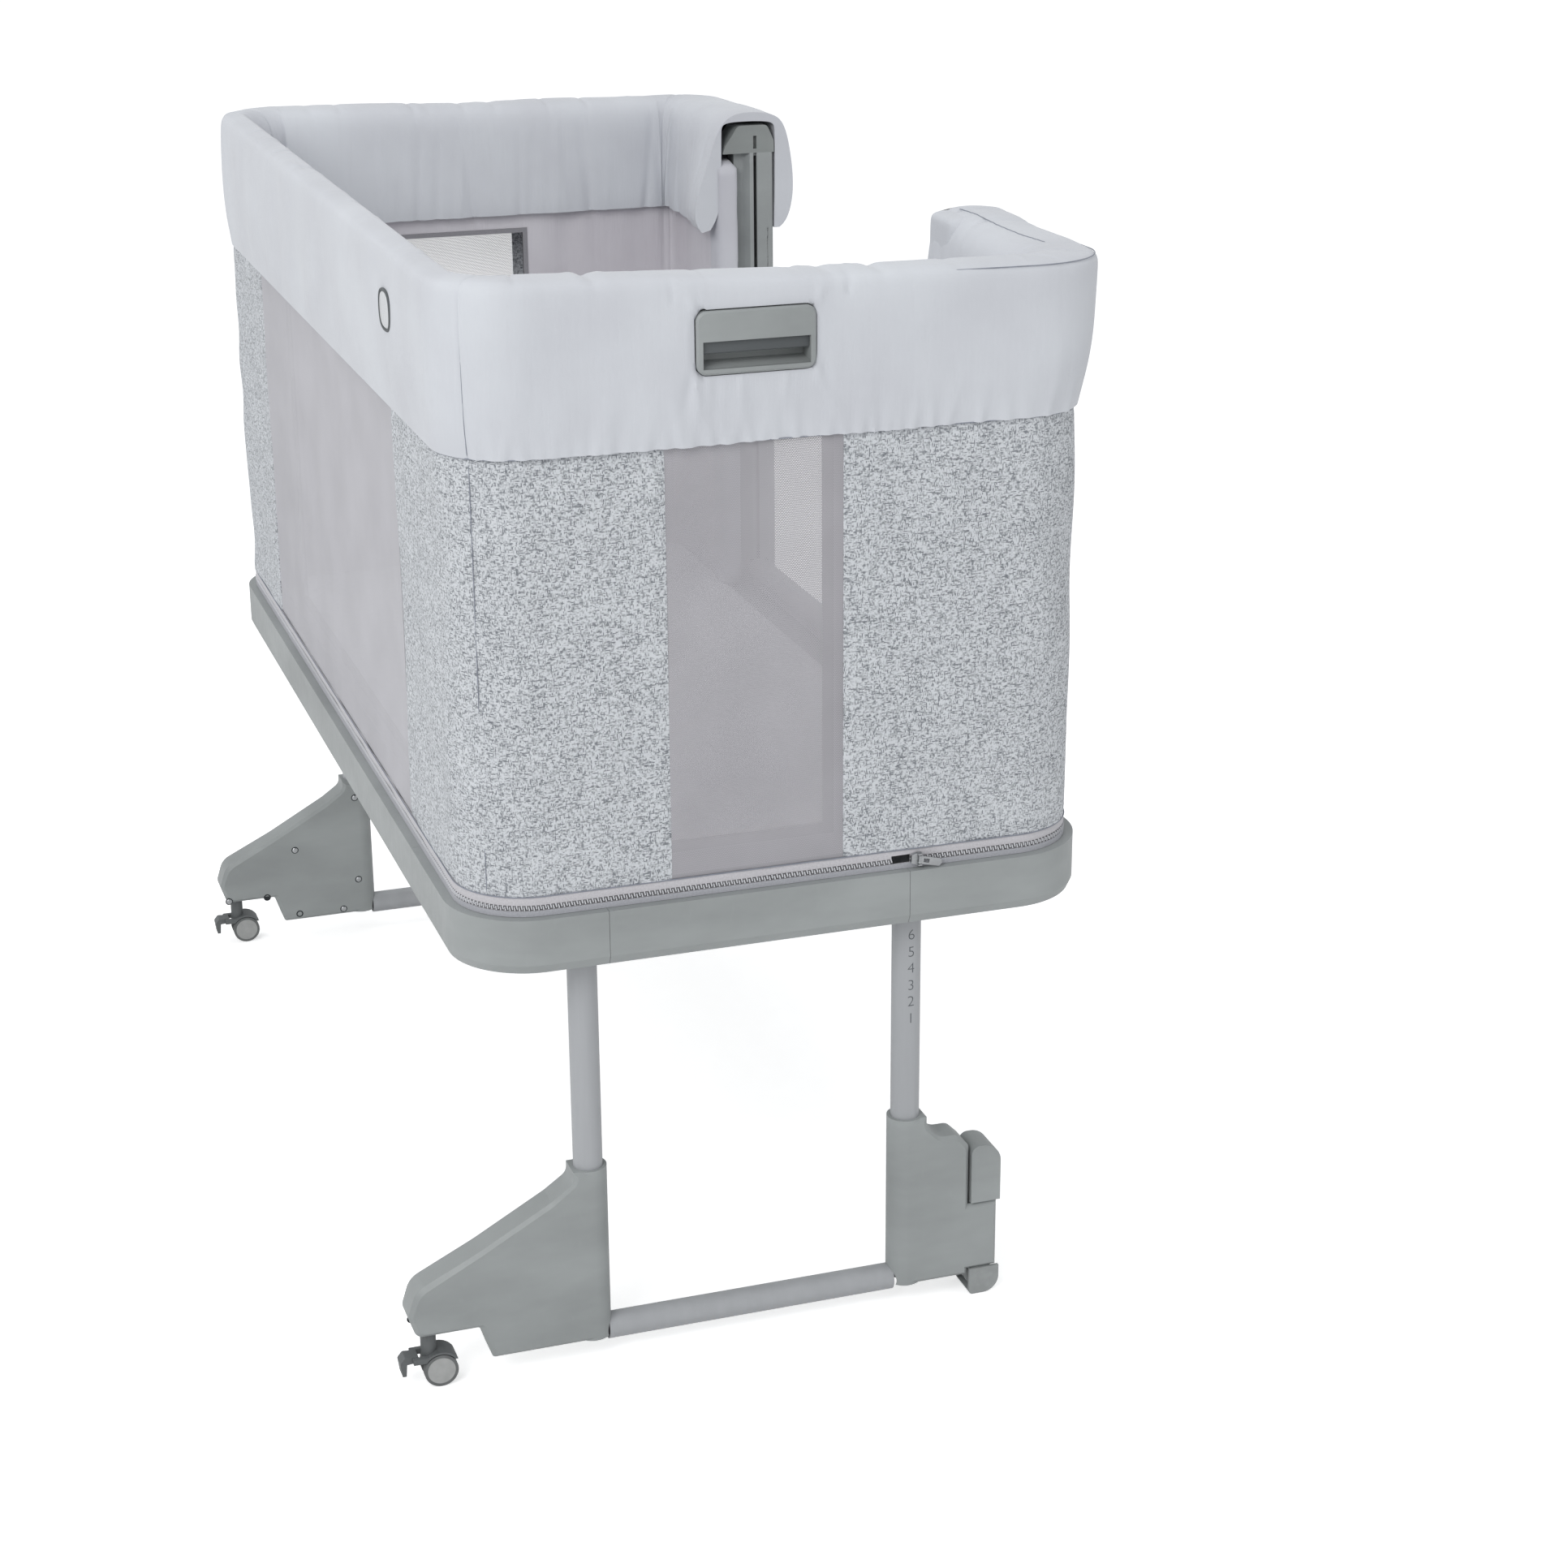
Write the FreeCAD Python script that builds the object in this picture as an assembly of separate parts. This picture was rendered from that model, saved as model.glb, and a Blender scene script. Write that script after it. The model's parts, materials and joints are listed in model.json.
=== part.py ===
import math
import os

import FreeCAD
import Part

# Bedside sleeper crib. Millimetres, floor at Z = 0, X across the crib towards the
# parent's bed, Y along it. The near end is at -Y and the far end is its mirror image.

# Tray
tray_width = 660.0
tray_length = 1320.0
tray_shift = 34.9
tray_bottom = 450.0
tray_height = 60.0
tray_corner = 85.0
tray_edge = 13.0
tray_edge_step = 4.0
tray_wall = 3.0
tray_rim = 14.0
tray_rib = 2.0
tray_rib_height = 18.0
tray_rib_pitch = 120.0
seam_gap = 0.4
end_seam_half = 155.0
rail_half = 430.0

# Well for the mattress, cut into the tray
well_margin_left = 44.0
well_margin_bed = 67.0
well_margin_end = 72.5
well_corner = 20.0
ledge_reach = 12.0
board_seat = 24.0
board_thick = 12.0
board_skin = 4.0
board_gap = 0.3
board_bays_across = 2
board_bays_along = 5
board_rib = 16.0
mattress_thick = 36.0
mattress_gap = 2.5
mattress_crown = 5.0
mattress_slope = 130.0
mattress_corner = 11.0

# Leg frames
legs_middle = 4.4
leg_spacing = 342.0
leg_row_inset = 51.0
leg_radius = 15.0
leg_wall = 1.5
leg_bottom = 30.0
leg_top = 850.0
slide_gap = 0.06
crossbar_radius = 14.0
crossbar_height = 29.0
fit_gap = 0.1

# Guide frames in the end walls
sleeve_wall = 3.0
block_wall = 4.0
block_height = 40.0
beam_thick = 12.0
beam_height = 32.0
beam_proud = 6.0

# Hoop inside the top of the padded band
hoop_thick = 6.0
hoop_height = 34.0
hoop_bend = 45.0
hoop_margin_left = 27.0

# Slotted posts and their caps
post_face = 355.0
post_depth = 40.0
post_width = 48.0
post_margin = 28.0
post_plate = 3.0
post_groove = 17.0
post_groove_depth = 13.0
slot_width = 4.5
channel_width = 13.0
channel_depth = 18.0
cap_height = 34.0
cap_cover = 13.0
cap_overhang = 18.0
cap_proud = 1.0
cap_plug = 4.0
cap_slit_height = 16.0

# Textile walls
fabric_inset = 10.0
fabric_thick = 3.0
zip_height = 20.0
zip_thick = 2.0
band_seam = 958.0
band_height = 160.0
band_crown = 20.0
band_belly = 60.0
band_padding = 18.0
band_seam_in = 8.0
band_belly_in = 5.0
band_top_in = 26.0
bed_seam_out = 0.5
bed_belly_out = 4.5
bed_shoulder_out = 2.0
bed_top_in = 20.0
flap_edge = 17.0
flap_reach = 13.0
flap_roof = 14.0
flap_roof_reach = 3.0
flap_lip = 14.0
lining_thick = 3.0
lining_drop = 53.0
roll_drop = 13.0
window_half = 88.0
side_window_half = 385.0
side_window_corner = 60.0
window_sill = 35.0
window_head = 950.0
net_thick = 1.5
net_strand = 4.0
net_edge = 9.0
sew_gap = 0.3

# Zip slider and its pull
zip_park = 158.5
zip_gap_length = 20.0
zip_gap_height = 9.0
slider_length = 11.0
slider_width = 12.6
slider_thick = 4.0
pull_length = 22.0
pull_width = 8.0
pull_thick = 1.5
pull_droop = 14.0
lug_thick = 1.2
lug_gap = 1.0
pull_heel = 0.9
pull_stand = 2.2
pull_pin = 0.5
pull_barrel = 1.25

# Carry handles in the band
handle_width = 116.0
handle_height = 59.0
handle_drop = 35.0
handle_corner = 10.0
handle_set_in = 0.5
handle_depth = 26.0
handle_face = 4.0
handle_lip = 5.5
pocket_width = 104.0
pocket_drop = 28.0
trigger_height = 12.0
trigger_travel = 8.0
trigger_gap = 0.3
bezel_gap = 1.2

# Feet
foot_radius = 19.0
foot_wall = 3.0
foot_bottom = 24.0
foot_rib = 2.0
collar_top = 217.0
foot_chamfer = 4.0
foot_length = 194.0
nose_height = 61.0
nose_top = 113.0
slope_start = 188.0
heel_length = 109.0

# Casters
caster_reach = 172.0
caster_trail = 10.0
wheel_radius = 17.5
wheel_width = 8.0
wheel_spacing = 18.8
axle_radius = 2.5
hood_gap = 1.0
hood_wall = 2.2
hood_half = 13.4
hood_low = 11.0
ear_half = 3.0
stem_radius = 4.0
stem_length = 26.0
neck_radius = 8.0
swivel_gap = 0.3
pedal_half = 8.0
pedal_pin = 1.5
pedal_reach = 25.0
pedal_height = 14.0

# Bed-side feet with their folding arms
arm_foot_length = 99.0
arm_pivot = 82.0
pad_radius = 20.0
pad_left = 13.5
pad_top = 30.0
pad_floor = 3.7
pad_shoe = 3.8
arm_half = 11.5
arm_gap = 0.8
lug_half = 8.0
arm_eye = 15.2
arm_pin = 3.0
pin_gap = 0.05
arm_length = 155.0
arm_tip = 66.0
notch_gap = 2.0
shoulder_height = 191.0
shoulder_length = 33.0

# Drop side
rail_width = 28.0
rail_height = 22.0
rail_wall = 1.5
rail_low = 525.0
rail_end_gap = 3.5
runner_gap = 0.3
runner_height = 35.0
carriage_plate = 3.0
fold_width = 20.0
fold_count = 3

# Places worked out from the sizes above
tray_left = tray_shift - tray_width / 2
tray_bed = tray_shift + tray_width / 2
tray_end = tray_length / 2
tray_top = tray_bottom + tray_height
tray_floor = tray_bottom + tray_wall
well_left = tray_left + well_margin_left
well_bed = tray_bed - well_margin_bed
well_end = tray_end - well_margin_end
board_low = tray_bottom + board_seat
board_high = board_low + board_thick
leg_left = legs_middle - leg_spacing / 2
leg_bed = legs_middle + leg_spacing / 2
leg_row = tray_end - leg_row_inset
sleeve_bore = leg_radius + slide_gap
sleeve_radius = sleeve_bore + sleeve_wall
band_top = band_seam + band_height
band_ceiling = band_top - band_crown
sleeve_top = band_ceiling - hoop_height
beam_high = sleeve_top + beam_proud
beam_low = beam_high - beam_height
lining_top = band_top - lining_drop
roll_top = lining_top - roll_drop
handle_high = band_top - handle_drop
handle_low = handle_high - handle_height
pocket_top = handle_high - pocket_drop
cap_top = band_top - cap_cover
post_top = cap_top - cap_height
post_x = tray_bed - post_margin
post_back = post_face + post_depth
post_left = post_x - post_width / 2
post_bed = post_x + post_width / 2
fabric_low = tray_top + zip_height
fabric_high = band_seam - sew_gap
fabric_in = fabric_inset + fabric_thick
swivel_x = leg_left - caster_reach
axle_x = swivel_x + caster_trail
pivot_x = leg_bed + arm_pivot
pivot_z = pad_radius
far_away = 3000.0


def point(x, y, z):
    return FreeCAD.Vector(x, y, z)


def box(x0, x1, y0, y1, z0, z1):
    return Part.makeBox(x1 - x0, y1 - y0, z1 - z0, point(x0, y0, z0))


def upright(x, y, z0, z1, radius):
    return Part.makeCylinder(radius, z1 - z0, point(x, y, z0), point(0, 0, 1))


def along_x(y, z, x0, x1, radius):
    return Part.makeCylinder(radius, x1 - x0, point(x0, y, z), point(1, 0, 0))


def along_y(x, z, y0, y1, radius):
    return Part.makeCylinder(radius, y1 - y0, point(x, y0, z), point(0, 1, 0))


def fuse(first, *others):
    return first.multiFuse(list(others)).removeSplitter()


def cut(first, *others):
    for other in others:
        first = first.cut(other)
    return first


def mirrored(shape):
    return shape.mirror(point(0, 0, 0), point(0, 1, 0))


def rounded_wire(corners, place):
    """A closed outline of straight runs, with each (u, v, radius) corner rounded by an arc."""
    starts = []
    ends = []
    middles = []
    count = len(corners)
    for i in range(count):
        u, v, radius = corners[i]
        before = FreeCAD.Vector(corners[i - 1][0] - u, corners[i - 1][1] - v, 0).normalize()
        after_corner = corners[(i + 1) % count]
        after = FreeCAD.Vector(after_corner[0] - u, after_corner[1] - v, 0).normalize()
        here = FreeCAD.Vector(u, v, 0)
        half = before.getAngle(after) / 2
        reach = radius / math.tan(half)
        starts.append(here + before * reach)
        ends.append(here + after * reach)
        inward = (before + after).normalize()
        middles.append(here + inward * (radius / math.sin(half) - radius))
    edges = []
    for i in range(count):
        leave = ends[i - 1]
        arrive = starts[i]
        if leave.distanceToPoint(arrive) > 1e-6:
            edges.append(Part.makeLine(place(leave.x, leave.y), place(arrive.x, arrive.y)))
        if corners[i][2] > 0:
            arc = Part.Arc(place(arrive.x, arrive.y), place(middles[i].x, middles[i].y),
                           place(ends[i].x, ends[i].y))
            edges.append(arc.toShape())
    return Part.Wire(Part.__sortEdges__(edges))


def flat_outline(corners, z):
    return rounded_wire(corners, lambda u, v: point(u, v, z))


def side_outline(corners, y):
    return rounded_wire(corners, lambda u, v: point(u, y, v))


def end_outline(corners, x):
    return rounded_wire(corners, lambda u, v: point(x, u, v))


def prism(wire, direction):
    return Part.Face(wire).extrude(direction)


def side_prism(corners, y0, y1):
    return prism(side_outline(corners, y0), point(0, y1 - y0, 0))


def rectangle(left, right, end, corner):
    return [(left, -end, corner), (right, -end, corner), (right, end, corner), (left, end, corner)]


def tray_rectangle(inset):
    return rectangle(tray_left + inset, tray_bed - inset, tray_end - inset, tray_corner - inset)


def well_rectangle(inset):
    return rectangle(well_left + inset, well_bed - inset, well_end - inset, well_corner - inset)


def slab(corners, z0, z1):
    return prism(flat_outline(corners, z0), point(0, 0, z1 - z0))


def save(name, *solids):
    shape = solids[0] if len(solids) == 1 else Part.makeCompound(list(solids))
    shape.exportStep("parts/" + name + ".step")


# Tray, board and mattress

def leg_spots():
    return [(x, y) for x in (leg_left, leg_bed) for y in (-leg_row, leg_row)]


def tray_blank(inset, z0, z1):
    """A block with the tray's outline and a lower edge rounded off in two steps."""
    steps = [(tray_edge, 0), (tray_edge_step, tray_edge_step), (0, tray_edge), (0, z1 - z0)]
    wires = [flat_outline(tray_rectangle(inset + step), z0 + rise) for step, rise in steps]
    return Part.makeLoft(wires, True, True)


def tray_ribs():
    count = int(rail_half / tray_rib_pitch)
    ribs = []
    for k in range(-count, count + 1):
        y = k * tray_rib_pitch
        ribs.append(box(tray_left, tray_bed, y - tray_rib / 2, y + tray_rib / 2,
                        tray_floor, tray_floor + tray_rib_height))
    for x in (legs_middle - leg_spacing / 5, legs_middle + leg_spacing / 5):
        ribs.append(box(x - tray_rib / 2, x + tray_rib / 2, -tray_end, tray_end,
                        tray_floor, tray_floor + tray_rib_height))
    return ribs


def tray_ring():
    """A moulded channel all round: broad rim, floor and inner wall, with cross ribs and leg sockets."""
    blank = tray_blank(0, tray_bottom, tray_top)
    blank = blank.cut(slab(well_rectangle(0), tray_bottom - 1, tray_top + 1))
    hollow = slab(tray_rectangle(tray_rim), tray_floor, tray_top + 1)
    hollow = hollow.cut(slab(well_rectangle(-tray_wall), tray_floor, tray_top + 1))
    deck = box(well_bed, tray_bed, -post_back, post_back, tray_top - tray_wall, tray_top + 1)
    hollow = hollow.cut(deck)
    ring = blank.cut(hollow)
    ledge = slab(well_rectangle(0), board_low - tray_wall, board_low)
    ledge = ledge.cut(slab(well_rectangle(ledge_reach), board_low - tray_wall, board_low))
    webs = [hollow.common(rib) for rib in tray_ribs()]
    half = sleeve_radius + block_wall
    well = slab(well_rectangle(0), tray_bottom, tray_top)
    blocks = [box(x - half, x + half, y - half, y + half, tray_floor, tray_floor + block_height).cut(well)
              for x, y in leg_spots()]
    ring = fuse(ring, ledge, *webs, *blocks)
    bores = [upright(x, y, tray_bottom - 1, tray_top + 1, sleeve_radius + fit_gap) for x, y in leg_spots()]
    return cut(ring, *bores)


def tray_pieces():
    ring = tray_ring()
    half_gap = seam_gap / 2
    low = tray_bottom - 1
    high = tray_top + 1
    seam_left = legs_middle - end_seam_half
    seam_bed = legs_middle + end_seam_half
    outside = tray_end + 1
    pieces = {}
    for end, y0, y1 in (("near", -outside, -rail_half - half_gap), ("far", rail_half + half_gap, outside)):
        left = box(tray_left - 1, seam_left - half_gap, y0, y1, low, high)
        bed = box(seam_bed + half_gap, tray_bed + 1, y0, y1, low, high)
        middle = box(seam_left + half_gap, seam_bed - half_gap, y0, y1, low, high)
        pieces["tray_corner_" + end + "_left"] = ring.common(left)
        pieces["tray_corner_" + end + "_bed"] = ring.common(bed)
        pieces["tray_end_" + end] = ring.common(middle)
    rail_y = rail_half - half_gap
    pieces["tray_rail_left"] = ring.common(box(tray_left - 1, legs_middle, -rail_y, rail_y, low, high))
    pieces["tray_rail_bed"] = ring.common(box(legs_middle, tray_bed + 1, -rail_y, rail_y, low, high))
    return pieces


def mattress_board():
    board = slab(well_rectangle(board_gap), board_low, board_high)
    width = well_bed - well_left - 2 * ledge_reach - board_rib
    length = 2 * (well_end - ledge_reach) - board_rib
    bay_width = width / board_bays_across
    bay_length = length / board_bays_along
    for i in range(board_bays_across):
        for j in range(board_bays_along):
            x0 = well_left + ledge_reach + board_rib + i * bay_width
            y0 = -well_end + ledge_reach + board_rib + j * bay_length
            bay = box(x0, x0 + bay_width - board_rib, y0, y0 + bay_length - board_rib,
                      board_low, board_high - board_skin)
            board = board.cut(bay)
    return board


def mattress_outline(inset):
    """Eight corners: the pad's outline with its own corners cut off."""
    left = well_left + inset
    bed = well_bed - inset
    end = well_end - inset
    c = mattress_corner
    outline = [(left + c, -end), (bed - c, -end), (bed, -end + c), (bed, end - c),
               (bed - c, end), (left + c, end), (left, end - c), (left, -end + c)]
    return [(u, v, 0) for u, v in outline]


def stacked(outlines):
    """A closed solid of flat faces through (corners, height) outlines with as many corners each."""
    rings = [[point(u, v, z) for u, v, radius in corners] for corners, z in outlines]
    faces = [Part.Face(Part.makePolygon(ring + ring[:1])) for ring in (rings[0], rings[-1])]
    for low, high in zip(rings, rings[1:]):
        for i in range(len(low)):
            side = [low[i - 1], low[i], high[i], high[i - 1], low[i - 1]]
            faces.append(Part.Face(Part.makePolygon(side)))
    solid = Part.Solid(Part.Shell(faces))
    if solid.Volume < 0:
        solid.reverse()
    return solid


def mattress():
    """A pad with drawn-in sides and a low crown, from outlines stacked up its height."""
    steps = [(0.0, mattress_gap + 5), (0.3, mattress_gap), (0.8, mattress_gap), (1.0, mattress_gap + 12)]
    outlines = []
    for share, inset in steps:
        z = board_high + share * (mattress_thick - mattress_crown)
        outlines.append((mattress_outline(inset), z))
    outlines.append((mattress_outline(mattress_slope), board_high + mattress_thick))
    return stacked(outlines)


# Frame

def guide_frame():
    """Two sleeves for the leg tubes, joined by the beam that the handle is fixed to."""
    sleeves = [upright(x, -leg_row, tray_bottom, sleeve_top, sleeve_radius) for x in (leg_left, leg_bed)]
    beam_y = -tray_end + handle_set_in + handle_depth
    beam = box(leg_left, leg_bed, beam_y, beam_y + beam_thick, beam_low, beam_high)
    frame = fuse(beam, *sleeves)
    bores = [upright(x, -leg_row, tray_bottom, sleeve_top, sleeve_bore) for x in (leg_left, leg_bed)]
    return cut(frame, *bores)


def rim_hoop():
    """A flat hoop that stands on the sleeves and keeps the band's top edge in shape."""
    left = tray_left + hoop_margin_left
    half = hoop_thick / 2
    outer = rectangle(left - half, post_x + half, leg_row + half, hoop_bend + half)
    inner = rectangle(left + half, post_x - half, leg_row - half, hoop_bend - half)
    high = band_ceiling - sew_gap
    hoop = slab(outer, sleeve_top, high).cut(slab(inner, sleeve_top, high))
    return hoop.cut(box(legs_middle, tray_bed, -post_back, post_back, sleeve_top, high))


def far_post():
    """An extruded post: slotted front plate, T channel for the runner and a hollow back."""
    groove_x = post_left + post_groove
    section = [(groove_x, post_face, 0), (post_bed, post_face, 4), (post_bed, post_back, 0),
               (post_left, post_back, 0), (post_left, post_face + post_groove_depth, 0),
               (post_left + post_groove * 0.65, post_face + post_groove_depth * 0.85, 6)]
    post = slab(section, tray_top, post_top)
    slot = box(post_x - slot_width / 2, post_x + slot_width / 2, post_face - 1,
               post_face + post_plate + 1, tray_top, post_top)
    channel_y = post_face + post_plate
    channel = box(post_x - channel_width / 2, post_x + channel_width / 2, channel_y,
                  channel_y + channel_depth, tray_top, post_top)
    back_y = channel_y + channel_depth + post_plate
    hollow = box(post_left + post_plate, post_bed - post_plate, back_y, post_back - post_plate,
                 tray_top, post_top)
    return cut(post, slot, channel, hollow)


def far_cap():
    outer = post_left - cap_overhang
    bed = post_bed + cap_proud
    shape = [(outer, post_top, 0), (bed, post_top, 0), (bed, post_top + 14, 6),
             (post_bed - 8, cap_top, 7), (post_left + 2, cap_top, 9), (outer + 3, post_top + 9, 5)]
    cap = side_prism(shape, post_face, post_back)
    slit = box(post_x - slot_width / 2, post_x + slot_width / 2, post_face - 1, post_face + 6,
               post_top + 5, post_top + 5 + cap_slit_height)
    plug_y = post_face + post_plate + runner_gap
    plug = box(post_x - channel_width / 2 + runner_gap, post_x + channel_width / 2 - runner_gap,
               plug_y, plug_y + channel_depth - 2 * runner_gap, post_top - cap_plug, post_top)
    return fuse(cap.cut(slit), plug)


# Handles

def handle_housing():
    """A bezel with a finger pocket whose roof holds the sprung trigger."""
    left = legs_middle - handle_width / 2
    bed = legs_middle + handle_width / 2
    front = -tray_end + handle_set_in
    outline = [(left, handle_low, handle_corner), (bed, handle_low, handle_corner),
               (bed, handle_high, handle_corner), (left, handle_high, handle_corner)]
    housing = side_prism(outline, front, front + handle_depth)
    rim = [e for e in housing.Edges if abs(e.BoundBox.YMin - front) < 1e-4
           and abs(e.BoundBox.YMax - front) < 1e-4]
    housing = housing.makeChamfer(2.0, rim)
    half = pocket_width / 2
    low = handle_low + handle_lip
    back = front + handle_depth - handle_face
    pocket = box(legs_middle - half, legs_middle + half, front - 1, back, low, pocket_top)
    loft_top = pocket_top + trigger_travel + trigger_gap
    chamber = box(legs_middle - half, legs_middle + half, front + handle_face, back,
                  pocket_top - trigger_height, loft_top)
    ramp = [(front + 2, low - 1, 0), (back + 1, low - 1, 0), (back + 1, low + 5, 0)]
    ramp = prism(end_outline(ramp, legs_middle - half - 1), point(2 * half + 2, 0, 0))
    return fuse(cut(housing, pocket, chamber), ramp.common(pocket))


def handle_trigger():
    half = pocket_width / 2 - trigger_gap
    front = -tray_end + handle_set_in + handle_face + trigger_gap
    back = -tray_end + handle_set_in + handle_depth - handle_face - trigger_gap
    low = pocket_top - trigger_height
    section = [(front, low, 2), (back, low, 0), (back, pocket_top, 0), (front, pocket_top, 0)]
    return prism(end_outline(section, legs_middle - half), point(2 * half, 0, 0))


# Textiles

def wall_ring(outer, inner, z0, z1):
    """A thin wall that follows the tray's outline, left open between the posts."""
    ring = slab(tray_rectangle(outer), z0, z1).cut(slab(tray_rectangle(inner), z0, z1))
    stop = post_back + sew_gap
    return ring.cut(box(legs_middle, tray_bed + 1, -stop, stop, z0, z1))


def end_window(grow, y_low, y_high, z0, z1):
    return box(legs_middle - window_half - grow, legs_middle + window_half + grow, y_low, y_high, z0, z1)


def side_window(grow, x0, x1, sill, head):
    half = side_window_half + grow
    corner = side_window_corner + grow
    shape = [(-half, sill, 0), (half, sill, 0), (half, head, corner), (-half, head, corner)]
    return prism(end_outline(shape, x0), point(x1 - x0, 0, 0))


def fabric_corners():
    ring = wall_ring(fabric_inset, fabric_in, fabric_low, fabric_high)
    ring = ring.cut(end_window(0, -tray_end, tray_end, fabric_low, fabric_high))
    ring = ring.cut(side_window(0, tray_left, legs_middle - window_half, fabric_low - 1, fabric_high))
    panels = {}
    for end, y0, y1 in (("near", -tray_end, 0), ("far", 0, tray_end)):
        left = box(tray_left, legs_middle, y0, y1, fabric_low, fabric_high)
        bed = box(legs_middle, tray_bed, y0, y1, fabric_low, fabric_high)
        panels["fabric_" + end + "_left"] = ring.common(left)
        panels["fabric_" + end + "_bed"] = ring.common(bed)
    return panels


def net(corners, to_place, columns, rows, thickness):
    """A flat net: one face with a grid of rectangular gaps between its strands."""
    u0 = min(c[0] for c in corners) + net_edge
    u1 = max(c[0] for c in corners) - net_edge
    v0 = min(c[1] for c in corners) + net_edge
    v1 = max(c[1] for c in corners) - net_edge
    step_u = (u1 - u0 + net_strand) / columns
    step_v = (v1 - v0 + net_strand) / rows
    corner = max(c[2] for c in corners)
    gaps = []
    for i in range(columns):
        for j in range(rows):
            a = u0 + i * step_u
            b = a + step_u - net_strand
            c = v0 + j * step_v
            d = c + step_v - net_strand
            near_corner = d > v1 - corner / 2 and (a < u0 + corner / 2 or b > u1 - corner / 2)
            if not near_corner:
                hole = rounded_wire([(a, c, 0), (b, c, 0), (b, d, 0), (a, d, 0)], to_place)
                hole.reverse()
                gaps.append(hole)
    return Part.Face([rounded_wire(corners, to_place)] + gaps).extrude(thickness)


def end_net():
    half = window_half - sew_gap
    y = -tray_end + fabric_inset + net_thick / 2
    corners = [(legs_middle - half, fabric_low, 0), (legs_middle + half, fabric_low, 0),
               (legs_middle + half, fabric_high, 0), (legs_middle - half, fabric_high, 0)]
    return net(corners, lambda u, v: point(u, y, v), 3, 8, point(0, net_thick, 0))


def side_net():
    half = side_window_half - sew_gap
    corner = side_window_corner - sew_gap
    x = tray_left + fabric_inset + net_thick / 2
    head = fabric_high - sew_gap
    corners = [(-half, fabric_low, 0), (half, fabric_low, 0), (half, head, corner), (-half, head, corner)]
    return net(corners, lambda u, v: point(x, u, v), 7, 4, point(net_thick, 0, 0))


def band_profile():
    """Height, inset at the ends and the left, and inset on the bed side, up the padded band."""
    return [(band_seam, band_seam_in, -bed_seam_out), (band_seam + band_belly, band_belly_in, -bed_belly_out),
            (band_ceiling, band_seam_in, -bed_shoulder_out), (band_top, band_top_in, bed_top_in)]


def band_inner_profile():
    """Height and reach of the band's inner flap past the lining, from its free edge up."""
    return [(band_seam + flap_edge, flap_reach), (band_top - flap_roof, flap_roof_reach),
            (band_top, -flap_lip)]


def band_ring():
    wires = []
    for z, inset, bed_inset in band_profile():
        wires.append(flat_outline(rectangle(tray_left + inset, tray_bed - bed_inset,
                                            tray_end - inset, tray_corner - inset), z))
    ring = Part.makeLoft(wires, True, True)
    core = []
    for z, reach in band_inner_profile():
        core.append(flat_outline(well_rectangle(reach), z))
    core.insert(0, flat_outline(well_rectangle(band_inner_profile()[0][1]), band_seam - 1))
    ring = ring.cut(Part.makeLoft(core, True, True))
    ring = ring.cut(slab(tray_rectangle(band_padding), band_seam - 1, band_seam + flap_edge))
    cavity = slab(tray_rectangle(band_padding), band_seam - 1, band_ceiling)
    cavity = cavity.cut(slab(well_rectangle(sew_gap), band_seam - 1, band_ceiling))
    left = post_left - cap_overhang - sew_gap
    bed = post_bed + cap_proud + sew_gap
    over_cap = cap_top + sew_gap
    round_post = [box(left, bed, y0, y1, band_seam - 1, over_cap)
                  for y0, y1 in ((-post_back - sew_gap, -post_face), (post_face, post_back + sew_gap))]
    gate = box(legs_middle, tray_bed + 50, -post_face, post_face, band_seam - 1, band_top + 1)
    return cut(ring, cavity, gate, *round_post)


def handle_hole(shape):
    left = legs_middle - handle_width / 2 - bezel_gap
    bed = legs_middle + handle_width / 2 + bezel_gap
    low = handle_low - bezel_gap
    high = handle_high + bezel_gap
    corner = handle_corner + bezel_gap
    outline = [(left, low, corner), (bed, low, corner), (bed, high, corner), (left, high, corner)]
    return shape.cut(side_prism(outline, -tray_end - 1, -tray_end + handle_depth + 1))


def bands():
    """The padded band in three lengths that meet at the seams of the left corners."""
    ring = band_ring()
    centre_x = tray_left + tray_corner
    centre_y = -tray_end + tray_corner
    out = tray_width
    rise = -post_face - centre_y
    near_area = [(centre_x - out, centre_y - out, 0), (centre_x + rise, -post_face, 0),
                 (tray_bed + out, -post_face, 0), (tray_bed + out, centre_y - out, 0)]
    left_area = [(centre_x - out, centre_y - out, 0), (centre_x + rise, -post_face, 0),
                 (centre_x + rise, post_face, 0), (centre_x - out, -centre_y + out, 0)]
    near = handle_hole(ring.common(slab(near_area, band_seam - 1, band_top + 1)))
    left = ring.common(slab(left_area, band_seam - 1, band_top + 1))
    return near, left


def inner_lining():
    ring = slab(well_rectangle(-lining_thick), tray_top, lining_top)
    ring = ring.cut(slab(well_rectangle(0), tray_top, lining_top))
    stop = post_face + sew_gap
    ring = ring.cut(box(legs_middle, tray_bed, -stop, stop, tray_top, lining_top))
    sill = tray_top + window_sill
    ring = ring.cut(end_window(0, -tray_end, tray_end, sill, window_head))
    ring = ring.cut(side_window(0, tray_left, legs_middle - window_half, sill, window_head))
    rolls = []
    for y0, y1 in ((-post_back, -stop), (stop, post_back)):
        rolls.append(box(well_bed, post_left - sew_gap, y0, y1, tray_top, roll_top))
    return fuse(ring, *rolls)


def zip_tape():
    tape = wall_ring(fabric_inset, fabric_inset + zip_thick, tray_top, fabric_low)
    middle = (tray_top + fabric_low) / 2
    mouth = box(legs_middle + zip_park - zip_gap_length, legs_middle + zip_park, -tray_end,
                -tray_end + fabric_in, middle - zip_gap_height / 2, middle + zip_gap_height / 2)
    return tape.cut(mouth)


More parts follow.
